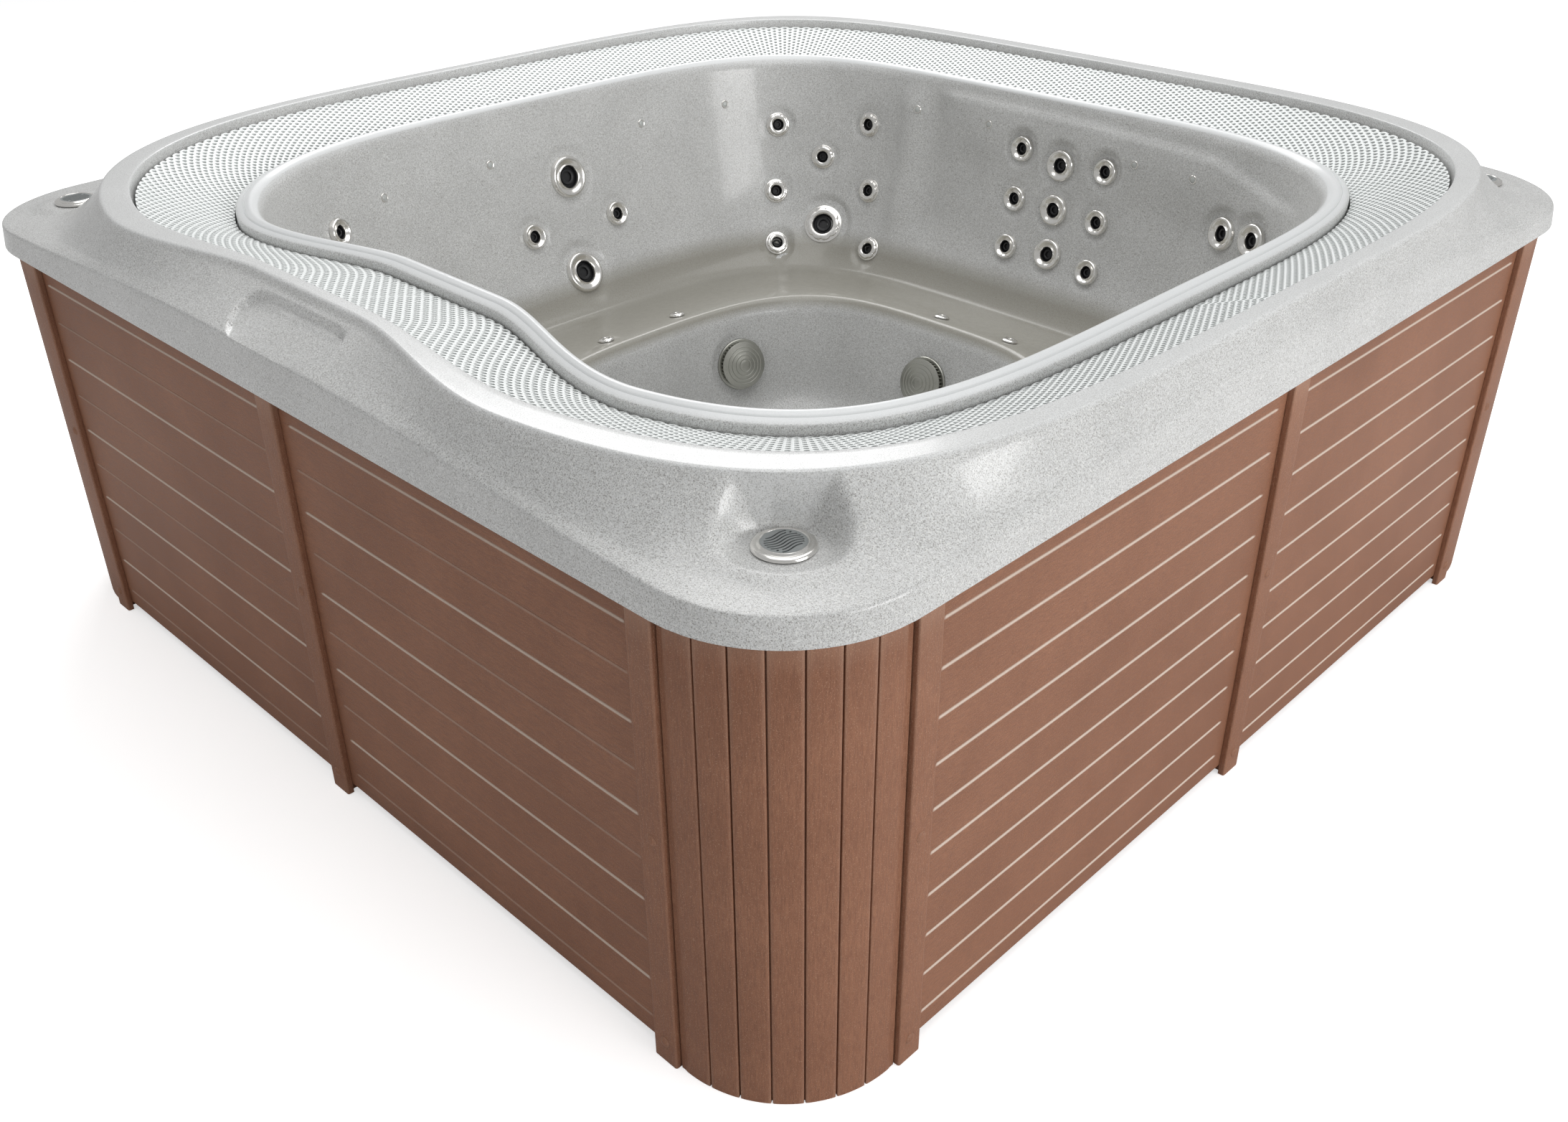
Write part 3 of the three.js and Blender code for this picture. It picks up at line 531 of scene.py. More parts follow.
def lower_rows(t):
    """The hidden underside, from the middle of the footwell back out to the skirt."""
    rim, grate, crest = ring(RIM, t), ring(GRATE, t), skirt(t, 0.004)
    deck_in = rim + np.minimum(0.060, 0.5 * (crest - rim))
    floor, low, nose = FOOTWELL[3][1], FOOTWELL[2][1], FOOTWELL[0][1]
    shape = [
        (0.04 * ring(floor, t), FLOOR_Z - SHELL_T),
        (ring(floor, t) + 0.004, FLOOR_Z - SHELL_T),
        (ring(low, t) + SHELL_T, FOOTWELL[2][0]),
        (ring(nose, t) + 0.008, FOOTWELL[0][0] - 0.018),
        (ring(SEAT[0][1], t), SEAT[0][0] - SHELL_T),
        (ring(SEAT_FOOT[1], t) + 0.004, SEAT_FOOT[0] - SHELL_T),
        *[(ring(wall_curve(z), t) + SHELL_T, z) for z in (0.400, 0.480, 0.600, 0.745)],
        (ring(wall_curve(0.745), t) + SHELL_T + 0.004, CHANNEL_FLOOR - SHELL_T),
        (grate + 0.008, CHANNEL_FLOOR - SHELL_T),
        (grate + 0.010, RIM_TOP - 0.012),
        (rim - 0.016, RIM_TOP - 0.020),
        (rim - 0.014, deck_z(t) - 0.017),
        (deck_in - 0.009, deck_z(t) - 0.017),
        (crest - 0.009, crest_z(t) - 0.008),
        (skirt(t, 0.008), SKIRT_BOTTOM),
    ]
    return side_by_side(shape, len(t))


def press(points, centre, axis, reach, shape):
    """Moves the points near a fitting along its axis, towards the height that shape(distance) gives
    with its weight."""
    centre, axis = np.array(centre), np.array(axis)
    offset = points - centre
    height = offset @ axis
    radius = np.linalg.norm(offset - height[:, None] * axis, axis=1)
    near = (radius < reach) & (np.abs(height) < 0.075)
    target, weight = shape(radius[near], points[near])
    points[near] += ((target - height[near]) * weight)[:, None] * axis


def fold_back_wall(points):
    """The soft upright fold between the corner seat and the back seat, and the shoulder line that
    runs down to the right above the back seat."""
    x, y, z = points.T
    on_wall = (y > 0.5) & (z > 0.41) & (z < 0.842) & (beyond(LIP, x, y) < -0.035)
    reach = smooth((z - 0.41) / 0.12) * smooth((0.840 - z) / 0.07)
    fold = 0.014 * np.exp(-((x + 0.385) / 0.034) ** 2) - 0.007 * np.exp(-((x + 0.300) / 0.040) ** 2)
    line_x = [-0.285, 0.093, 0.284, 0.462, 0.551, 0.636]
    below = np.interp(x, line_x, [0.829, 0.824, 0.815, 0.809, 0.788, 0.770]) - z
    shoulder = 0.009 * smooth(below / 0.012) * (1 - smooth((below - 0.03) / 0.15))
    shoulder *= smooth((x + 0.33) / 0.08) * smooth((0.74 - x) / 0.10)
    points[:, 1] -= np.where(on_wall, fold * reach + shoulder, 0)


# The recess's half width at distances from the tub's middle.
RECESS_HALVES = np.array([(1.160, 0.060), (1.140, 0.098), (1.120, 0.124), (1.098, 0.138),
                          (1.078, 0.138), (1.066, 0.126), (1.062, 0.108)])


def recess_floor(x, y):
    """A plane that rises towards the rim, hollowed along its left end."""
    hollow = 0.005 * smooth((RECESS_MIDDLE - 0.030 - x) / 0.08) * smooth((np.abs(y) - 1.062) / 0.02)
    return 0.8454 + 0.355 * (1.146 - np.abs(y)) - hollow * smooth((1.150 - np.abs(y)) / 0.03)


def sink_recess(points):
    """The D of the control recess: a flat floor with a crisp edge, and a double line along its inner
    and right edge."""
    x, y, z = points.T
    on_deck = (y < -1.0) & (z > 0.84) & (np.abs(x - RECESS_MIDDLE) < 0.2)
    half = np.interp(-y, RECESS_HALVES[::-1, 0], RECESS_HALVES[::-1, 1])
    edge = np.minimum(half - np.abs(x - RECESS_MIDDLE), -y - 1.058)
    drop = np.minimum(recess_floor(x, y) - z, 0)
    sunk = z + drop * smooth(edge / 0.0055)
    bead = np.exp(-((edge - 0.013) / 0.0028) ** 2) * smooth((x + 0.07) / 0.04)
    bead_height = 0.0020 * bead * smooth(-drop / 0.002)
    points[:, 2] = np.where(on_deck & (edge > 0), sunk + bead_height, z)


def jet_dish(face):
    """A round dish for a jet's face, with a deeper pit for its nozzle."""
    def shape(radius, _):
        pit = 1 - smooth((radius / face - 0.62) / 0.14)
        return -0.004 - 0.007 * pit, smooth((1.72 * face - radius) / (0.42 * face))
    return shape


SPEAKER_PAD_Z = 0.826


def speaker_pad(radius, points):
    """A flat round pad under a speaker, cut into the steep side of the rim behind it."""
    x, y, z = points.T
    lean = np.hypot(radius, 0.55 * np.maximum(z - SPEAKER_PAD_Z, 0))
    weight = smooth((0.088 - lean) / 0.030) * smooth((beyond(RIM, x, y) + 0.0125) / 0.006)
    return np.full(len(radius), -0.0012), weight


def flat_seat(inner, outer):
    """A flat round under a fitting, blended out from one radius to the other."""
    return lambda radius, _: (np.full(len(radius), -0.001), smooth((outer - radius) / (outer - inner)))


def build_shell():
    t = column_angles()
    rows = rounded_rows(upper_controls(t))
    upper = len(rows)
    rows += lower_rows(t)
    profile = np.stack(rows)
    radius, height = profile[..., 0], profile[..., 1]
    grid = np.stack([radius * np.cos(t), radius * np.sin(t), height], -1)
    count, columns = grid.shape[:2]
    top = grid[:upper].reshape(-1, 3)
    plain = top.copy()
    fold_back_wall(top)
    sink_recess(top)
    for name in JETS:
        centre, axis, face = outline_of(name)
        press(top, centre, axis, 1.75 * face, jet_dish(face))
    for name in SPEAKERS:
        press(top, *FITTINGS[name], 0.09, speaker_pad)
    for name in SUCTIONS:
        press(top, *FITTINGS[name], 0.085, flat_seat(0.066, 0.085))
    for name in INJECTORS:
        press(top, *FITTINGS[name], 0.036, flat_seat(0.022, 0.036))
    middles = [[0, 0, FLOOR_Z], [0, 0, FLOOR_Z - SHELL_T]]
    points = np.concatenate([top, grid[upper:].reshape(-1, 3), middles])
    i = np.arange(columns)
    j = (i + 1) % columns
    faces = []
    for k in range(count):
        a, b = k * columns, ((k + 1) % count) * columns
        if k == upper - 1:
            faces += [(a + p, a + q, count * columns) for p, q in zip(i, j)]
            faces += [(b + q, b + p, count * columns + 1) for p, q in zip(i, j)]
        else:
            faces += np.stack([a + i, a + j, b + j, b + i], 1).tolist()
    shell = mesh_piece("acrylic_shell", points.tolist(), faces, [ACRYLIC], sharp=50)
    tint_shell(shell, plain)
    fitted(shell, "tub", "acrylic_shell", "shell")
    return top.reshape(upper, columns, 3)


def tint_shell(shell, plain):
    """Where the acrylic is painted paler as a highlight, on the flange and the lip's bead, and darker and
    warmer as shade, on the seats and the wall's foot. plain holds the upper points before the jets and other
    fittings were pressed in."""
    x, y, z = plain.T
    flange = smooth((z - (RIM_TOP - 0.0045)) / 0.003) * (beyond(GRATE, x, y) > 0)
    on_lip = np.abs(beyond(LIP, x, y) + 0.021) < 0.024
    bead = smooth((z - (LIP_TOP - 0.010)) / 0.004) * on_lip
    foot = smooth((0.46 - z) / 0.05) * smooth((z - 0.374) / 0.012)
    seat = (z < 0.41) * (z > 0.355) * (beyond(SEAT[1][1], x, y) > 0)
    # Painted highlight on the flange and the lip's bead.
    tint(shell, "pale", np.maximum(0.35 * flange, bead))
    # Painted shade on the seats and the foot of the wall.
    tint(shell, "seat_and_foot_shade", np.clip(foot + seat, 0, 1))


# ---- overflow grating

ROWS = 12.5  # openings across the grating
BAY = 0.0118  # width of a bay of openings along the run


def reach_curve(start, normal, curve, inset):
    """Distance from start along normal to a plan curve, by the secant method."""
    def miss(distance):
        return beyond(curve, *(start + normal * distance[:, None]).T) - inset
    a, b = np.zeros(len(start)), np.full(len(start), 0.01)
    fa, fb = miss(a), miss(b)
    for _ in range(12):
        slope = np.where(np.abs(fb - fa) < 1e-12, 1, fb - fa)
        a, b, fa = b, b - fb * (b - a) / slope, fb
        fb = miss(b)
    return b


def bay_lines(from_angle):
    """The lines between the bays of one grating section: lip points and rim points."""
    slit = 0.0004
    t = np.linspace(from_angle + slit, from_angle + math.pi / 2 - slit, 1500)
    r = (ring(GRATE, t) + ring(LIP, t)) / 2
    middle = np.stack([r * np.cos(t), r * np.sin(t)], 1)
    length = np.concatenate([[0], np.cumsum(np.linalg.norm(np.diff(middle, axis=0), axis=1))])
    bays = int(round(length[-1] / BAY))
    stops = np.linspace(0, length[-1], bays + 1)
    start = np.stack([np.interp(stops, length, middle[:, k]) for k in (0, 1)], 1)
    tangent = np.gradient(start, axis=0)
    normal = np.stack([tangent[:, 1], -tangent[:, 0]], 1)
    normal /= np.linalg.norm(normal, axis=1)[:, None]
    for end, angle in ((0, t[0]), (-1, t[-1])):
        normal[end] = (math.cos(angle), math.sin(angle))
    outer = start + normal * reach_curve(start, normal, GRATE, -0.0025)[:, None]
    inner = start + normal * reach_curve(start, normal, LIP, 0.0025)[:, None]
    return inner, outer


def full_cell():
    """Top points and faces of one cell: its border, then its oval opening. (across, along, drop)"""
    low, rib = -0.35, -0.9
    border = [(0, 0, low), (0.5, 0, 0), (1, 0, low), (1, 0.5, rib),
              (1, 1, low), (0.5, 1, 0), (0, 1, low), (0, 0.5, rib)]
    turns = (np.arange(8) - 1) * math.pi / 4
    return border, [(0.5 + 0.37 * math.sin(a), 0.5 - 0.34 * math.cos(a), -0.8) for a in turns], True


def half_cell(at_start):
    """Half a cell at the lip or the rim, its opening a notch in the edge."""
    side = [(0, 0, -0.9), (0, 0.5, -0.35), (0.5, 0.5, 0), (1, 0.5, -0.35), (1, 0, -0.9)]
    notch = [(0.5 - 0.37 * math.cos(a), 0.34 * math.sin(a), -0.8) for a in np.arange(5) * math.pi / 4]
    if not at_start:
        side = [(x, 0.5 - y, d) for x, y, d in side]
        notch = [(x, 0.5 - y, d) for x, y, d in notch]
    return side, notch, False


def build_grating(name, from_angle):
    inner, outer = bay_lines(from_angle)
    bays = len(inner) - 1
    coords, quads = [], []
    used = 0

    def surface(bay, u, v, drop):
        """Points at shares u of the bays and v of the way from lip to rim."""
        left = inner[bay] + (outer[bay] - inner[bay]) * v[:, None]
        right = inner[bay + 1] + (outer[bay + 1] - inner[bay + 1]) * v[:, None]
        plan = left + (right - left) * u
        z = GRATE_IN_Z + (GRATE_OUT_Z - GRATE_IN_Z) * v + drop
        return np.column_stack([plan, z])

    def place(cell, starts, flip):
        """Adds a cell at each (bay, row start) as top, bottom and opening walls."""
        nonlocal used
        outside, opening, closed = cell
        bay, row = starts
        cell_points = outside + opening
        n, m, size = len(cell_points), len(outside), len(bay)
        for bottom in (False, True):
            for x, y, d in cell_points:
                drop = -GRATE_T + 0.0002 if bottom else d * 0.001
                coords.append(surface(bay, x, (row + y) / ROWS, drop))
        base = used + np.arange(size)
        used += 2 * n * size
        for p in range(m if closed else m - 1):
            q = (p + 1) % m
            for face in ((p, q, m + q, m + p), (n + q, n + p, n + m + p, n + m + q),
                         (m + p, m + q, n + m + q, n + m + p)):
                quads.append(np.stack([base + f * size for f in (face[::-1] if flip else face)], 1))

    bay = np.arange(bays)
    even, odd = bay[::2], bay[1::2]
    full = int(ROWS)
    for rows_of, offset in ((even, 0.0), (odd, 0.5)):
        b, r = np.meshgrid(rows_of, np.arange(full) + offset)
        place(full_cell(), (b.ravel(), r.ravel()), False)
    place(half_cell(True), (odd, np.zeros(len(odd))), True)
    place(half_cell(False), (even, np.full(len(even), float(full))), False)
    coords, quads = welded(np.concatenate(coords), np.concatenate(quads))
    quads = with_edge_walls(coords, quads)
    title = name.replace("grating", "overflow_grating")
    piece = mesh_piece(title, coords.tolist(), quads.tolist(), [PLASTIC], sharp=40)
    # How far below the top each point lies, for the painted shade in the openings.
    x, y, z = coords.T
    inside = beyond(LIP, x, y)
    share = inside / (inside - beyond(GRATE, x, y))
    shade_depth = GRATE_IN_Z + (GRATE_OUT_Z - GRATE_IN_Z) * share - 0.002 - z
    tint(piece, "shade_depth", np.clip(shade_depth / GRATE_T, 0, 1))
    fitted(piece, name, "grating_white", name)


def welded(coords, quads):
    """The same surface with its doubled points merged."""
    keys = np.round(coords * 1e6).astype(np.int64)
    _, first, inverse = np.unique(keys, axis=0, return_index=True, return_inverse=True)
    return coords[first], inverse.reshape(-1)[quads]


def with_edge_walls(coords, quads):
    """The quads of a slab, and walls that close its outer edges from top to bottom."""
    edges = np.concatenate([quads[:, [k, (k + 1) % 4]] for k in range(4)])
    keys = edges[:, 0].astype(np.int64) * len(coords) + edges[:, 1]
    twins = edges[:, 1].astype(np.int64) * len(coords) + edges[:, 0]
    open_edges = edges[~np.isin(keys, twins)]
    stacks = {}
    for v in np.unique(open_edges):
        x, y, z = coords[v]
        stacks.setdefault((round(x * 1e6), round(y * 1e6)), []).append((z, v))
    below = {max(stack)[1]: min(stack)[1] for stack in stacks.values()}
    walls = [(b, a, below[a], below[b]) for a, b in open_edges
             if a in below and b in below and below[a] != a and below[b] != b]
    return np.concatenate([quads, np.array(walls, dtype=quads.dtype).reshape(-1, 4)])


# ---- jets and other fittings

def fit_axis(node):
    """Middle line of a turned CAD fitting by its points: the axis is the direction in which the
    rings are stacked, and the face is at its far end."""
    mesh = frame["nodes"][node].data
    points = np.array([v.co for v in mesh.vertices])
    flat = {}
    for p in mesh.polygons:
        key = tuple(round(c, 3) for c in p.normal)
        flat[key] = flat.get(key, 0) + p.area
    axis = Vector(max(flat, key=flat.get)).normalized()
    middle = Vector(points.mean(0))
    along = (points - np.array(middle)) @ np.array(axis)
    spread = np.linalg.norm(points - np.array(middle) - along[:, None] * np.array(axis), axis=1)
    wide = along[spread > spread.max() - 0.0005]
    if wide.mean() < (along.min() + along.max()) / 2:
        axis, along, wide = -axis, -along, -wide
    centre = middle + axis * float(wide.min())
    return centre, axis


def jet_mesh(face, scalloped):
    """A jet's chromed face round a dark nozzle. The face sits in its dish, domed 6 mm proud."""
    face = 1080 * face
    small = face < 40
    bore = face * (0.45 if small else 0.52)
    inside = [
        (0, -9.5, 1), (0.42 * bore, -9.5, 1), (0.45 * bore, -4.8, 1), (0.52 * bore, -3.8, 1),
        (0.66 * bore, -3.8, 1), (0.72 * bore, -5, 1), (0.76 * bore, -8, 1), (0.93 * bore, -8.5, 1),
        (0.97 * bore, -1.5), (bore, 1.5), (bore + 1.2, 3.4)]
    back = [(face - 0.4, -3.6), (0.80 * face, -3.6), (0.70 * face, -10.5), (0, -10.5)]
    if scalloped:
        outside = [
            (0.58 * face, 4.8), (0.70 * face, 5.5, 0, 0.3), (0.80 * face, 5, 0, 0.8),
            (0.865 * face, 3.6, 0, 1), (0.885 * face, 1.6, 0, 1), (0.88 * face, -0.6, 0, 1),
            (0.885 * face, -1.2, 0, 0.4), (0.95 * face, -1.5), (0.99 * face, -2.3), (face, -3)]
        return lathe(inside + outside + back, 80, 8 if small else 10, 0.085)
    wide = face - bore - 1.2
    dome = [(bore + 1.2 + wide * u, -3 + 9.8 * math.sin(math.pi * (0.96 - 0.93 * u * u)) ** 0.55)
            for u in np.linspace(0.12, 1, 11)[:-1]]
    return lathe(inside + dome + [(face, -2.8)] + back, 64)


def build_jets():
    """Jets of one kind and size share one mesh."""
    meshes = {}
    for name in JETS:
        centre, axis, face = outline_of(name)
        kind = (round(face, 4), "corner_seat" in name)
        if kind in meshes:
            piece = new_object(name + "_face", meshes[kind])
        else:
            piece = Solid().add(*jet_mesh(face, kind[1])).piece(name + "_face", [CHROME, BORE], 30)
            meshes[kind] = piece.data
        fitted(placed(piece, centre, axis), name, "chrome_trim", name)


def build_suctions():
    """A round suction cover: a flange, a ring of fins and a low domed cap with turned ridges."""
    flange = [(0, 11), (48, 11), (50, 6), (60, 5), (61.5, 3.5), (62, 0.5), (30, 0.4), (0, 0.4)]
    cap = [(0, 26.2), (6, 26.2)]
    for r in (14, 24, 34, 43):
        h = 26.2 - 0.0022 * r * r
        cap += [(r - 1.6, h + 0.2), (r, h - 0.7), (r + 1.6, h + 0.1)]
    cap += [(53, 19.6), (56, 18), (56.5, 16.5), (54, 15.5), (0, 15.5)]
    fin = prism([(0.0495, -0.0012), (0.0552, -0.0010), (0.0552, 0.0010), (0.0495, 0.0012)], (0.0050, 0.0158))
    solid = Solid().add(*lathe(flange, 64)).add(*lathe(cap, 64))
    fins = 40
    for k in range(fins):
        solid.add(*fin, 0, Matrix.Rotation(2 * math.pi * k / fins, 4, "Z"))
    for name in SUCTIONS:
        piece = solid.piece(name + "_body", [STEEL], 30)
        fitted(placed(piece, *FITTINGS[name]), "tub", "chrome_trim", name)


def build_injectors():
    solid = Solid().add(*lathe([
        (0, 5.2), (4, 5.2), (4.8, 4.2, 1), (8.5, 4), (9.5, 5.8), (13, 6.2), (16.5, 5), (18.6, 2.8), (19, 0.4),
        (14, -0.4), (0, -0.4)]))
    for name in INJECTORS:
        piece = solid.piece(name + "_body", [CHROME, BORE], 30)
        fitted(placed(piece, *FITTINGS[name]), "tub", "chrome_trim", name)


SLOTS, SLOT_PITCH, SLOT_HALF, GRILLE_R = 8, 0.0052, 0.00135, 0.0245


def slot_bend(x):
    return 0.0026 * np.sin(x / 0.021 * math.pi)


def grille_plate():
    """The speaker's grille: a disc cut through by S-shaped slots, with two square holes in place of
    the second slot's left end and the last but one's right end."""
    disc = Solid().add(*lathe([(0, 2.2), (28.5, 2.2), (29, 1.8), (29, 0), (0, 0)], 72))
    disc = disc.piece("grille_plate", [GRILLE])
    cutter = Solid()
    through = (-0.002, 0.005)
    for k in range(SLOTS):
        offset = (k - (SLOTS - 1) / 2) * SLOT_PITCH
        reach = math.sqrt(GRILLE_R ** 2 - (abs(offset) + 0.001) ** 2)
        end = {1: -1, SLOTS - 2: 1}.get(k, 0)
        xs = np.linspace(-reach + 0.0075 * (end < 0), reach - 0.0075 * (end > 0), 17)
        low, high = (list(zip(xs, offset + slot_bend(xs) + half)) for half in (-SLOT_HALF, SLOT_HALF))
        cutter.add(*prism(low + high[::-1], through))
        if end:
            x = end * (reach - 0.0022)
            y = offset + slot_bend(x)
            corners = ((-1, -1), (1, -1), (1, 1), (-1, 1))
            cutter.add(*prism([(x + a * 0.0016, y + b * 0.0014) for a, b in corners], through))
    tool = cutter.piece("grille_cutter", [GRILLE])
    cut = disc.modifiers.new("slots", "BOOLEAN")
    cut.operation = "DIFFERENCE"
    cut.solver = "EXACT"
    cut.object = tool
    shown = disc.evaluated_get(bpy.context.evaluated_depsgraph_get())
    mesh = bpy.data.meshes.new_from_object(shown)
    for piece in (disc, tool):
        bpy.data.objects.remove(piece)
    return mesh


def build_speakers():
    bezel = [
        (27.5, 5), (28.2, 7.4), (29, 8.2), (30.2, 8.3), (31.2, 7.6), (31.9, 6.2), (32.6, 5.6), (35.2, 5.5),
        (37.4, 5.1), (39, 4.1), (39.8, 2.8), (40, 0.8), (39.2, 0), (34, 0), (33, 2), (27.5, 2), (27.5, 5)]
    dark = [(0, 3.2, 2), (27, 3.2, 2), (27.2, 1.2, 2), (0, 1.2, 2)]
    plate = grille_plate()
    turn = Matrix.Translation((0, 0, 0.0052)) @ Matrix.Rotation(math.radians(77), 4, "Z")
    solid = Solid().add(*lathe(bezel, 96)).add(*lathe(dark))
    solid.add([v.co for v in plate.vertices], [tuple(p.vertices) for p in plate.polygons], 1, turn)
    for name in SPEAKERS:
        piece = solid.piece(name + "_body", [CHROME, GRILLE, BORE], 30)
        piece.matrix_world = Matrix.Translation(FITTINGS[name][0])
        fitted(piece, "tub", "speaker_trim", name)


def build_lamps(grid):
    """Small waterline lamp lenses on the shell's wall, each at a place along it and a height."""
    spots = [("left", -0.404, 0.728), ("left", -0.108, 0.737), ("left", 0.345, 0.747), ("left", 0.606, 0.750),
             ("back", -0.363, 0.767), ("back", -0.149, 0.766), ("back", 0.263, 0.754), ("back", 0.414, 0.749)]
    solid = Solid().add(*lathe([
        (0, 3, 1), (3, 2.9, 1), (5.5, 2.2, 1), (6.8, 1.2), (7.2, 2), (8.5, 2.3), (9.6, 1.4), (10, -0.5),
        (0, -1)], 32))
    wall = grid[(grid[:, 0, 2] > 0.5) & (np.arange(len(grid)) > 40)]
    x, y, z = np.moveaxis(wall, -1, 0)
    inner = beyond(LIP, x, y) < -0.03
    for k, (side, along, height) in enumerate(spots):
        across, on_side = (y, x < 0) if side == "left" else (x, y > 0)
        miss = (across - along) ** 2 + (z - height) ** 2 + np.where(inner & on_side, 0, 9)
        row, column = np.unravel_index(np.argmin(miss), miss.shape)
        here = Vector(wall[row, column])
        level = wall[row, (column + 1) % miss.shape[1]] - wall[row, column - 1]
        normal = Vector(np.cross(wall[row + 1, column] - wall[row - 1, column], level)).normalized()
        if normal.dot(here) > 0:
            normal.negate()
        piece = solid.piece(f"waterline_lamp_{k + 1}", [CHROME, LENS], 30)
        fitted(placed(piece, here, normal), "tub", "chrome_trim")


# ---- cabinet

TURNS = {"front": 0, "right": 90, "back": 180, "left": 270}
GROOVE_FIRST, GROOVE_PITCH, GROOVE_COUNT, GROOVE_MARGIN = 0.056, 0.0748, 10, 0.034
BATTEN_W, BATTEN_PROUD, BATTEN_STEM = 0.048, 0.012, 0.030
CORNER_BATTEN, CORNER_LAP = 0.843, 0.018
SLAT_COUNT, SLAT_PROUD, SLAT_GAP = 7, 0.004, 0.0022
CAP_HEIGHTS = (0.415, 0.040)


def side_matrix(side):
    return Matrix.Rotation(math.radians(TURNS[side]), 4, "Z")


def side_face(side):
    return CABINET_Y if side in ("front", "back") else CABINET_X


def grooves(z, u, u0, u1, side):
    """The panel's level grooves: their depth, a slope that faces up under a short steep edge, and how
    strongly a painted highlight lightens the slope's lower edge, from 0 to 1. The front side's even ones are
    fainter."""
    k = np.clip(np.round((z - GROOVE_FIRST) / GROOVE_PITCH), 0, GROOVE_COUNT - 1)
    d = z - (GROOVE_FIRST + k * GROOVE_PITCH)
    ends = smooth((np.minimum(u - u0, u1 - u) - GROOVE_MARGIN + 0.004) / 0.007)
    slope = np.clip(np.where(d < 0, 1 + d / 0.0042, 1 - d / 0.0016), 0, 1)
    # Painted highlight along each groove's lower edge.
    glint_edge = smooth((d + 0.0050) / 0.0010) * smooth((-0.0010 - d) / 0.0008)
    cut, glint_strength = 1, 1
    if side == "front":
        cut, glint_strength = np.where(k % 2 == 0, 0.62, 1), np.where(k % 2 == 0, 0.25, 0.9)
    return 0.0034 * slope * ends * cut, glint_edge * ends * glint_strength


def build_panel(name):
    side = name.split("_")[1]
    turn = side_matrix(side)
    lo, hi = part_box(name)
    u0, u1 = sorted((turn.inverted() @ corner).x for corner in (lo, hi))
    z0, z1 = lo.z, hi.z
    face = side_face(side)
    soft = 0.0022
    edge = np.array([0, 0.0004, 0.0012, soft])
    margin = np.concatenate([edge, [0.010], GROOVE_MARGIN + np.array([-0.006, -0.003, 0, 0.003, 0.008])])
    us = np.concatenate([u0 + margin, np.linspace(u0 + 0.1, u1 - 0.1, 5), (u1 - margin)[::-1]])
    levels = [GROOVE_FIRST + GROOVE_PITCH * k + d for k in range(GROOVE_COUNT)
              for d in (-0.0056, -0.0046, -0.0036, -0.0024, -0.0012, -0.0003, 0.0002, 0.0008, 0.0016, 0.0026)]
    zs = np.concatenate([z0 + edge, [z for z in levels if z0 + 0.004 < z < z1 - 0.004], (z1 - edge)[::-1]])
    u, z = np.meshgrid(us, zs)
    near = np.minimum(np.minimum(u - u0, u1 - u), np.minimum(z - z0, z1 - z))
    rounding = soft - np.sqrt(soft ** 2 - np.maximum(soft - near, 0) ** 2)
    depth, groove_glint = grooves(z, u, u0, u1, side)
    front = np.stack([u, -face + depth + rounding, z], -1).reshape(-1, 3)
    index = np.arange(u.size).reshape(u.shape)
    quads = np.stack([index[:-1, :-1], index[:-1, 1:], index[1:, 1:], index[1:, :-1]], -1).reshape(-1, 4)
    border = np.concatenate([index[0, :], index[1:, -1], index[-1, -2::-1], index[-2:0:-1, 0]])
    back = front[border]
    back[:, 1] = -face + PANEL_T
    behind = len(front) + np.arange(len(border))
    walls = np.stack([np.roll(border, -1), border, behind, np.roll(behind, -1)], 1)
    faces = quads.tolist() + walls.tolist() + [behind.tolist()]
    solid = Solid().add(np.concatenate([front, back]), faces, 0, turn)
    board = BOARD_ALONG_X if side in ("front", "back") else BOARD_ALONG_Y
    piece = solid.piece(name.replace("panel", "cabinet_panel"), [board], 60)
    # Painted highlight along the grooves' lower edges.
    tint(piece, "groove_highlight", groove_glint.ravel())
    fitted(piece, "tub", "cabinet_brown", name)


def upright(outline):
    """A post of a plan outline from the ground to the skirt."""
    return prism(outline, (0, 0.0015, *np.linspace(0.05, COVER_TOP - 0.05, 5), COVER_TOP))


def rounded_outline(corners, radii, steps=4):
    """A plan outline with its corners rounded, each by its own radius."""
    corners = [np.array(corner, dtype=float) for corner in corners]
    out = []
    for k, here in enumerate(corners):
        if radii[k] == 0:
            out.append(tuple(here))
            continue
        before, after = corners[k - 1] - here, corners[(k + 1) % len(corners)] - here
        a, b = (here + way / np.linalg.norm(way) * min(radii[k], 0.49 * np.linalg.norm(way))
                for way in (before, after))
        for s in np.linspace(0, 1, steps + 1):
            out.append(tuple((1 - s) ** 2 * a + 2 * s * (1 - s) * here + s * s * b))
    return out


def screw_caps(solid, u, side):
    """Domed covers over the screws that hold a batten."""
    dome = [(0, 3.6), (3, 3.4), (5.8, 2.6), (7.8, 1.3), (8.6, 0.2), (8.6, -0.5), (0, -0.5)]
    points, faces, _ = lathe(dome, 28)
    for z in CAP_HEIGHTS:
        place = Matrix.Translation((u, -side_face(side) - BATTEN_PROUD, z))
        solid.add(points, faces, 0, side_matrix(side) @ place @ Matrix.Rotation(math.pi / 2, 4, "X"))


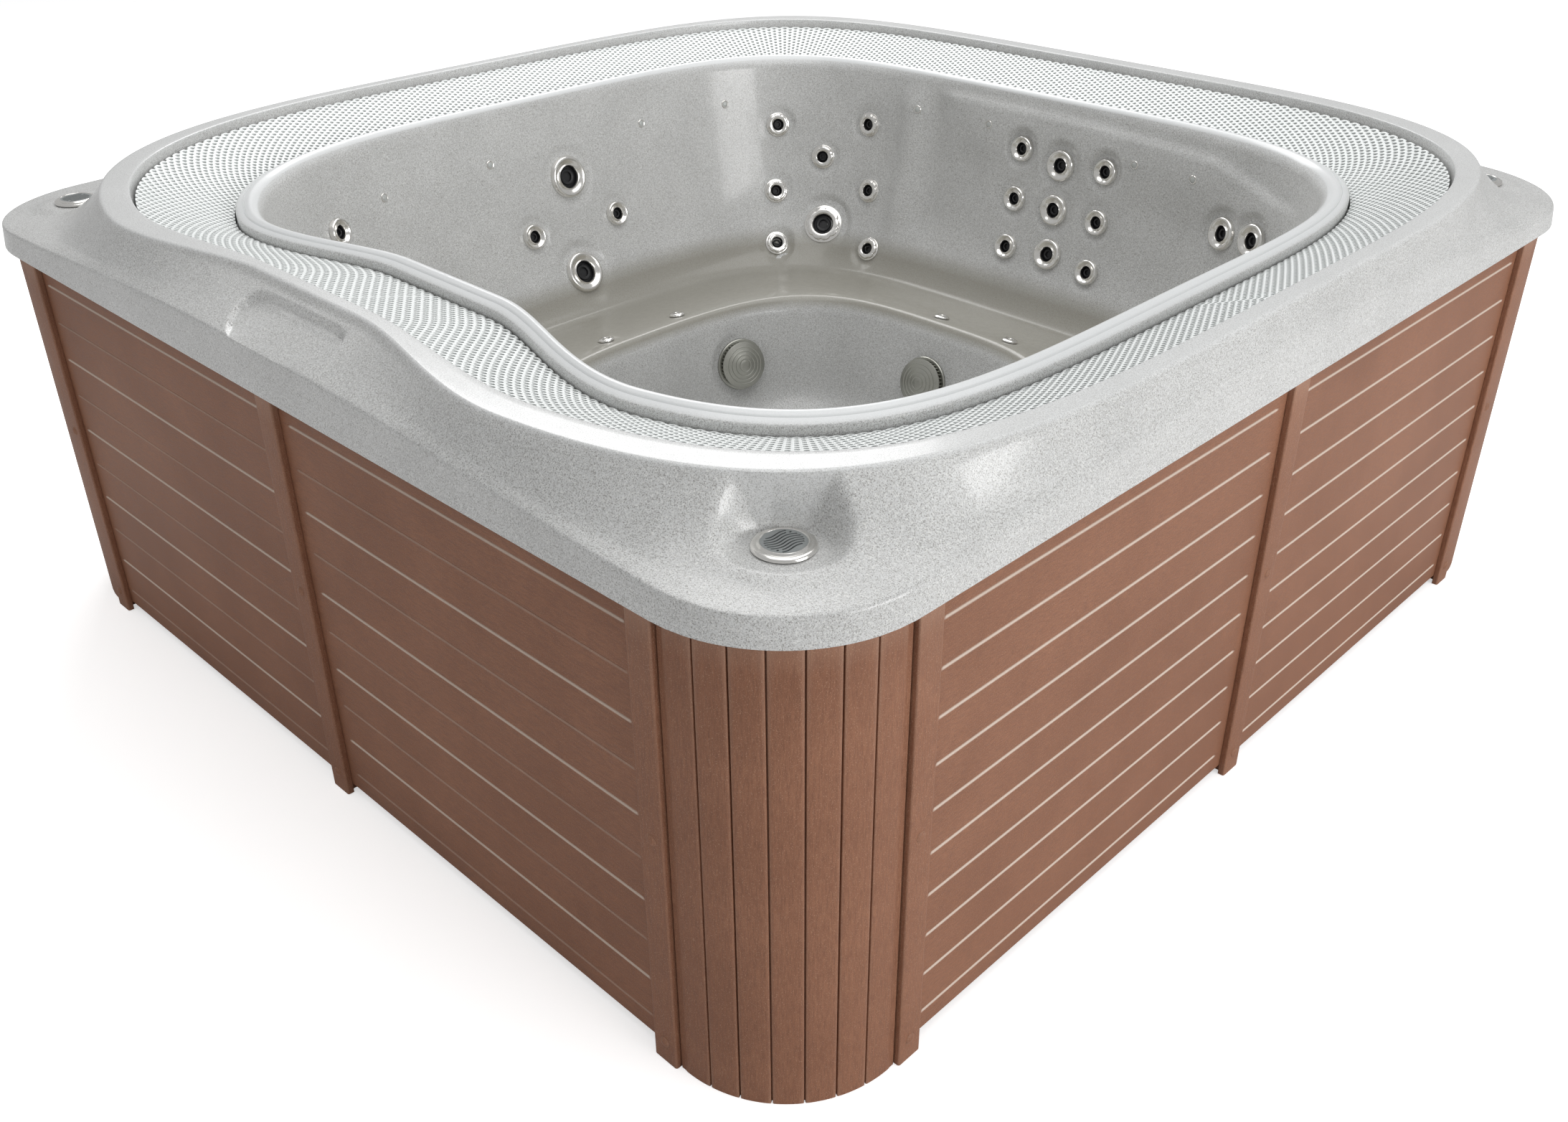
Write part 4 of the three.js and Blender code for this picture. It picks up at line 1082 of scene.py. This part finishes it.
def build_battens():
    for side in TURNS:
        face = side_face(side)
        cap, stem = BATTEN_W / 2, BATTEN_STEM / 2
        outer, inner = -face - BATTEN_PROUD, -face - 0.0003
        corners = [(-cap, inner), (-cap, outer), (cap, outer), (cap, inner), (stem, inner),
                   (stem, -face + PANEL_T), (-stem, -face + PANEL_T), (-stem, inner)]
        outline = rounded_outline(corners, [0.0005, 0.004, 0.004, 0.0005, 0, 0.001, 0.001, 0])
        solid = Solid().add(*upright(outline), 0, side_matrix(side))
        screw_caps(solid, 0, side)
        piece = solid.piece("cabinet_batten_" + side, [BOARD_UPRIGHT], 40)
        fitted(piece, "tub", "cabinet_brown", "batten_" + side)


def corner_outline():
    """Plan of the front right corner cover: a batten, the slatted quarter round and a batten."""
    middle = np.array((CABINET_X - CORNER_R, -(CABINET_Y - CORNER_R)))
    outer, inner = CORNER_R + SLAT_PROUD, CORNER_R - PANEL_T + 0.002

    def arc(radius, degrees):
        a = math.radians(degrees)
        return tuple(middle + radius * np.array((math.cos(a), math.sin(a))))

    lap, end = CORNER_BATTEN + CORNER_LAP, CORNER_BATTEN + BATTEN_W - 0.002
    y = -CABINET_Y
    front = rounded_outline(
        [(lap, y + PANEL_T), (lap, y - 0.0003), (CORNER_BATTEN, y - 0.0003),
         (CORNER_BATTEN, y - BATTEN_PROUD), (end, y - BATTEN_PROUD), (end, y + 0.004),
         (end + 0.0035, y + 0.004), (end + 0.0035, y - SLAT_PROUD)],
        [0, 0, 0.0005, 0.004, 0.004, 0, 0, 0.0012])
    slats = []
    half_gap = math.degrees(SLAT_GAP / 2 / outer)
    last = SLAT_COUNT - 1
    for k in range(SLAT_COUNT):
        start = -90 + k * 90 / SLAT_COUNT + (half_gap if k else 0)
        stop = -90 + (k + 1) * 90 / SLAT_COUNT - (half_gap if k < last else 0)
        if k:
            slats += [arc(outer - 0.0055, start - 0.10), arc(outer - 0.0014, start)]
        slats += [arc(outer - 0.0006, start + 0.10), arc(outer - 0.0001, start + 0.32)]
        slats += [arc(outer + 0.0001, start + (stop - start) * s) for s in np.linspace(0.12, 0.88, 7)]
        slats += [arc(outer - 0.0001, stop - 0.32), arc(outer - 0.0006, stop - 0.10)]
        if k < last:
            slats += [arc(outer - 0.0014, stop), arc(outer - 0.0055, stop + 0.10)]
    shift = CABINET_Y - CABINET_X
    right = [(-py - shift, -px - shift) for px, py in reversed(front)]
    return front + slats + right + [arc(inner, degrees) for degrees in np.linspace(0, -90, 13)]


def build_corners():
    outline = corner_outline()
    middle = CORNER_BATTEN + BATTEN_W / 2
    quarters = (("front_right", 1, 1), ("back_right", 1, -1), ("back_left", -1, -1), ("front_left", -1, 1))
    for name, sx, sy in quarters:
        shape = [(sx * x, sy * y) for x, y in outline]
        if sx * sy < 0:
            shape.reverse()
        solid = Solid().add(*upright(shape))
        end_side, long_side = name.split("_")
        screw_caps(solid, middle * (sx if end_side == "front" else -sx), end_side)
        long_middle = middle + CABINET_Y - CABINET_X
        screw_caps(solid, long_middle * (-sy if long_side == "right" else sy), long_side)
        piece = solid.piece("cabinet_corner_" + name, [BOARD_UPRIGHT], 40)
        fitted(piece, "tub", "cabinet_brown", "corner_cover_" + name)


def finish_hidden_nodes():
    """The frame, tray, pumps and control pack keep their CAD shape."""
    pump = rough_solid("pump_paint", (0.05, 0.05, 0.055), (0.10, 0.10, 0.11), 200, 0.45, Metallic=0.3)
    pack = rough_solid("pack_housing", (0.13, 0.14, 0.15), (0.19, 0.20, 0.22), 160, 0.5)
    tray = rough_solid("tray_plastic", (0.015, 0.015, 0.017), (0.035, 0.035, 0.038), 120, 0.6)
    timber = rough_solid("sawn_timber", (0.30, 0.20, 0.10), (0.48, 0.36, 0.21), 60, 0.75, (0.1, 0.1, 1))
    for node, material in (("frame", timber), ("base_tray", tray), ("jet_pump_left", pump),
                           ("jet_pump_right", pump), ("control_and_heater_pack", pack)):
        mesh = frame["nodes"][node].data
        mesh.materials.clear()
        mesh.materials.append(material)


# ---- stage

def build_stage():
    """A pale floor that looks lit from below, and a plain white surround with three soft lights."""
    n = Nodes("backlit_floor", Roughness=0.8, Emission_Color=(1, 1, 1, 1))
    n.set("Base Color", n.mix(n.noise(3, 5), rgb(0.90, 0.90, 0.90), rgb(0.93, 0.93, 0.93)))
    n.set("Emission Strength", n.remap(n.add("LightPath", "Is Camera Ray", {}), 0, 1, 0.0, 0.55))
    corners = [(-40, -40, 0), (40, -40, 0), (40, 40, 0), (-40, 40, 0)]
    floor = mesh_piece("studio_floor", corners, [(0, 1, 2, 3)], [n.material])
    floor.location.z = -0.0005

    world = bpy.data.worlds.new("studio")
    bpy.context.scene.world = world
    world.use_nodes = True
    tree = world.node_tree
    background = tree.nodes["Background"]
    path = tree.nodes.new("ShaderNodeLightPath")
    strength = tree.nodes.new("ShaderNodeMapRange")
    strength.inputs["To Min"].default_value = 0.46
    strength.inputs["To Max"].default_value = 1.1
    tree.links.new(path.outputs["Is Camera Ray"], strength.inputs["Value"])
    tree.links.new(strength.outputs[0], background.inputs["Strength"])
    background.inputs["Color"].default_value = (1, 1, 1, 1)

    for name, place, target, size, power in (
            ("overhead", (0.4, 0.2, 4.4), (0, 0, 0.5), (4.5, 3.5), 70),
            ("right_window", (5.4, 0.2, 2.0), (0.4, 0, 0.7), (3.2, 2.0), 114),
            ("back_left_window", (-3.2, 2.2, 4.3), (0, 0, 0.7), (3.4, 2.4), 112)):
        light = bpy.data.lights.new(name, "AREA")
        light.shape = "RECTANGLE"
        light.size, light.size_y = size
        light.energy = power
        placed(new_object(name, light), place, Vector(place) - Vector(target))


def build_camera():
    """The photograph's viewpoint: its place, and the azimuth, elevation and roll of its view."""
    azimuth, elevation, roll = (math.radians(d) for d in (44.468, 30.955, -0.382))
    flat = math.cos(elevation)
    back = Vector((math.sin(azimuth) * flat, -math.cos(azimuth) * flat, math.sin(elevation)))
    level = Vector((math.cos(azimuth), math.sin(azimuth), 0))
    up = back.cross(level)
    right = level * math.cos(roll) + up * math.sin(roll)
    up = up * math.cos(roll) - level * math.sin(roll)
    data = bpy.data.cameras.new("camera")
    data.lens = 33.81
    data.sensor_width = 36
    data.clip_end = 100
    camera = new_object("camera", data)
    turn = Matrix((right, up, back)).transposed().to_4x4()
    camera.matrix_world = Matrix.Translation((1.997331, -2.046889, 1.693796)) @ turn
    bpy.context.scene.camera = camera
    bpy.context.scene.view_settings.view_transform = "Standard"


FITTINGS = {name: fit_axis(name) for name in SUCTIONS + INJECTORS + SPEAKERS}

build_camera()
build_stage()
shell_grid = build_shell()
for order, quarter in enumerate(("back_right", "back_left", "front_left", "front_right")):
    build_grating("grating_" + quarter, order * math.pi / 2)
build_jets()
build_suctions()
build_injectors()
build_speakers()
build_lamps(shell_grid)
for panel in PANELS:
    build_panel(panel)
build_battens()
build_corners()
finish_hidden_nodes()
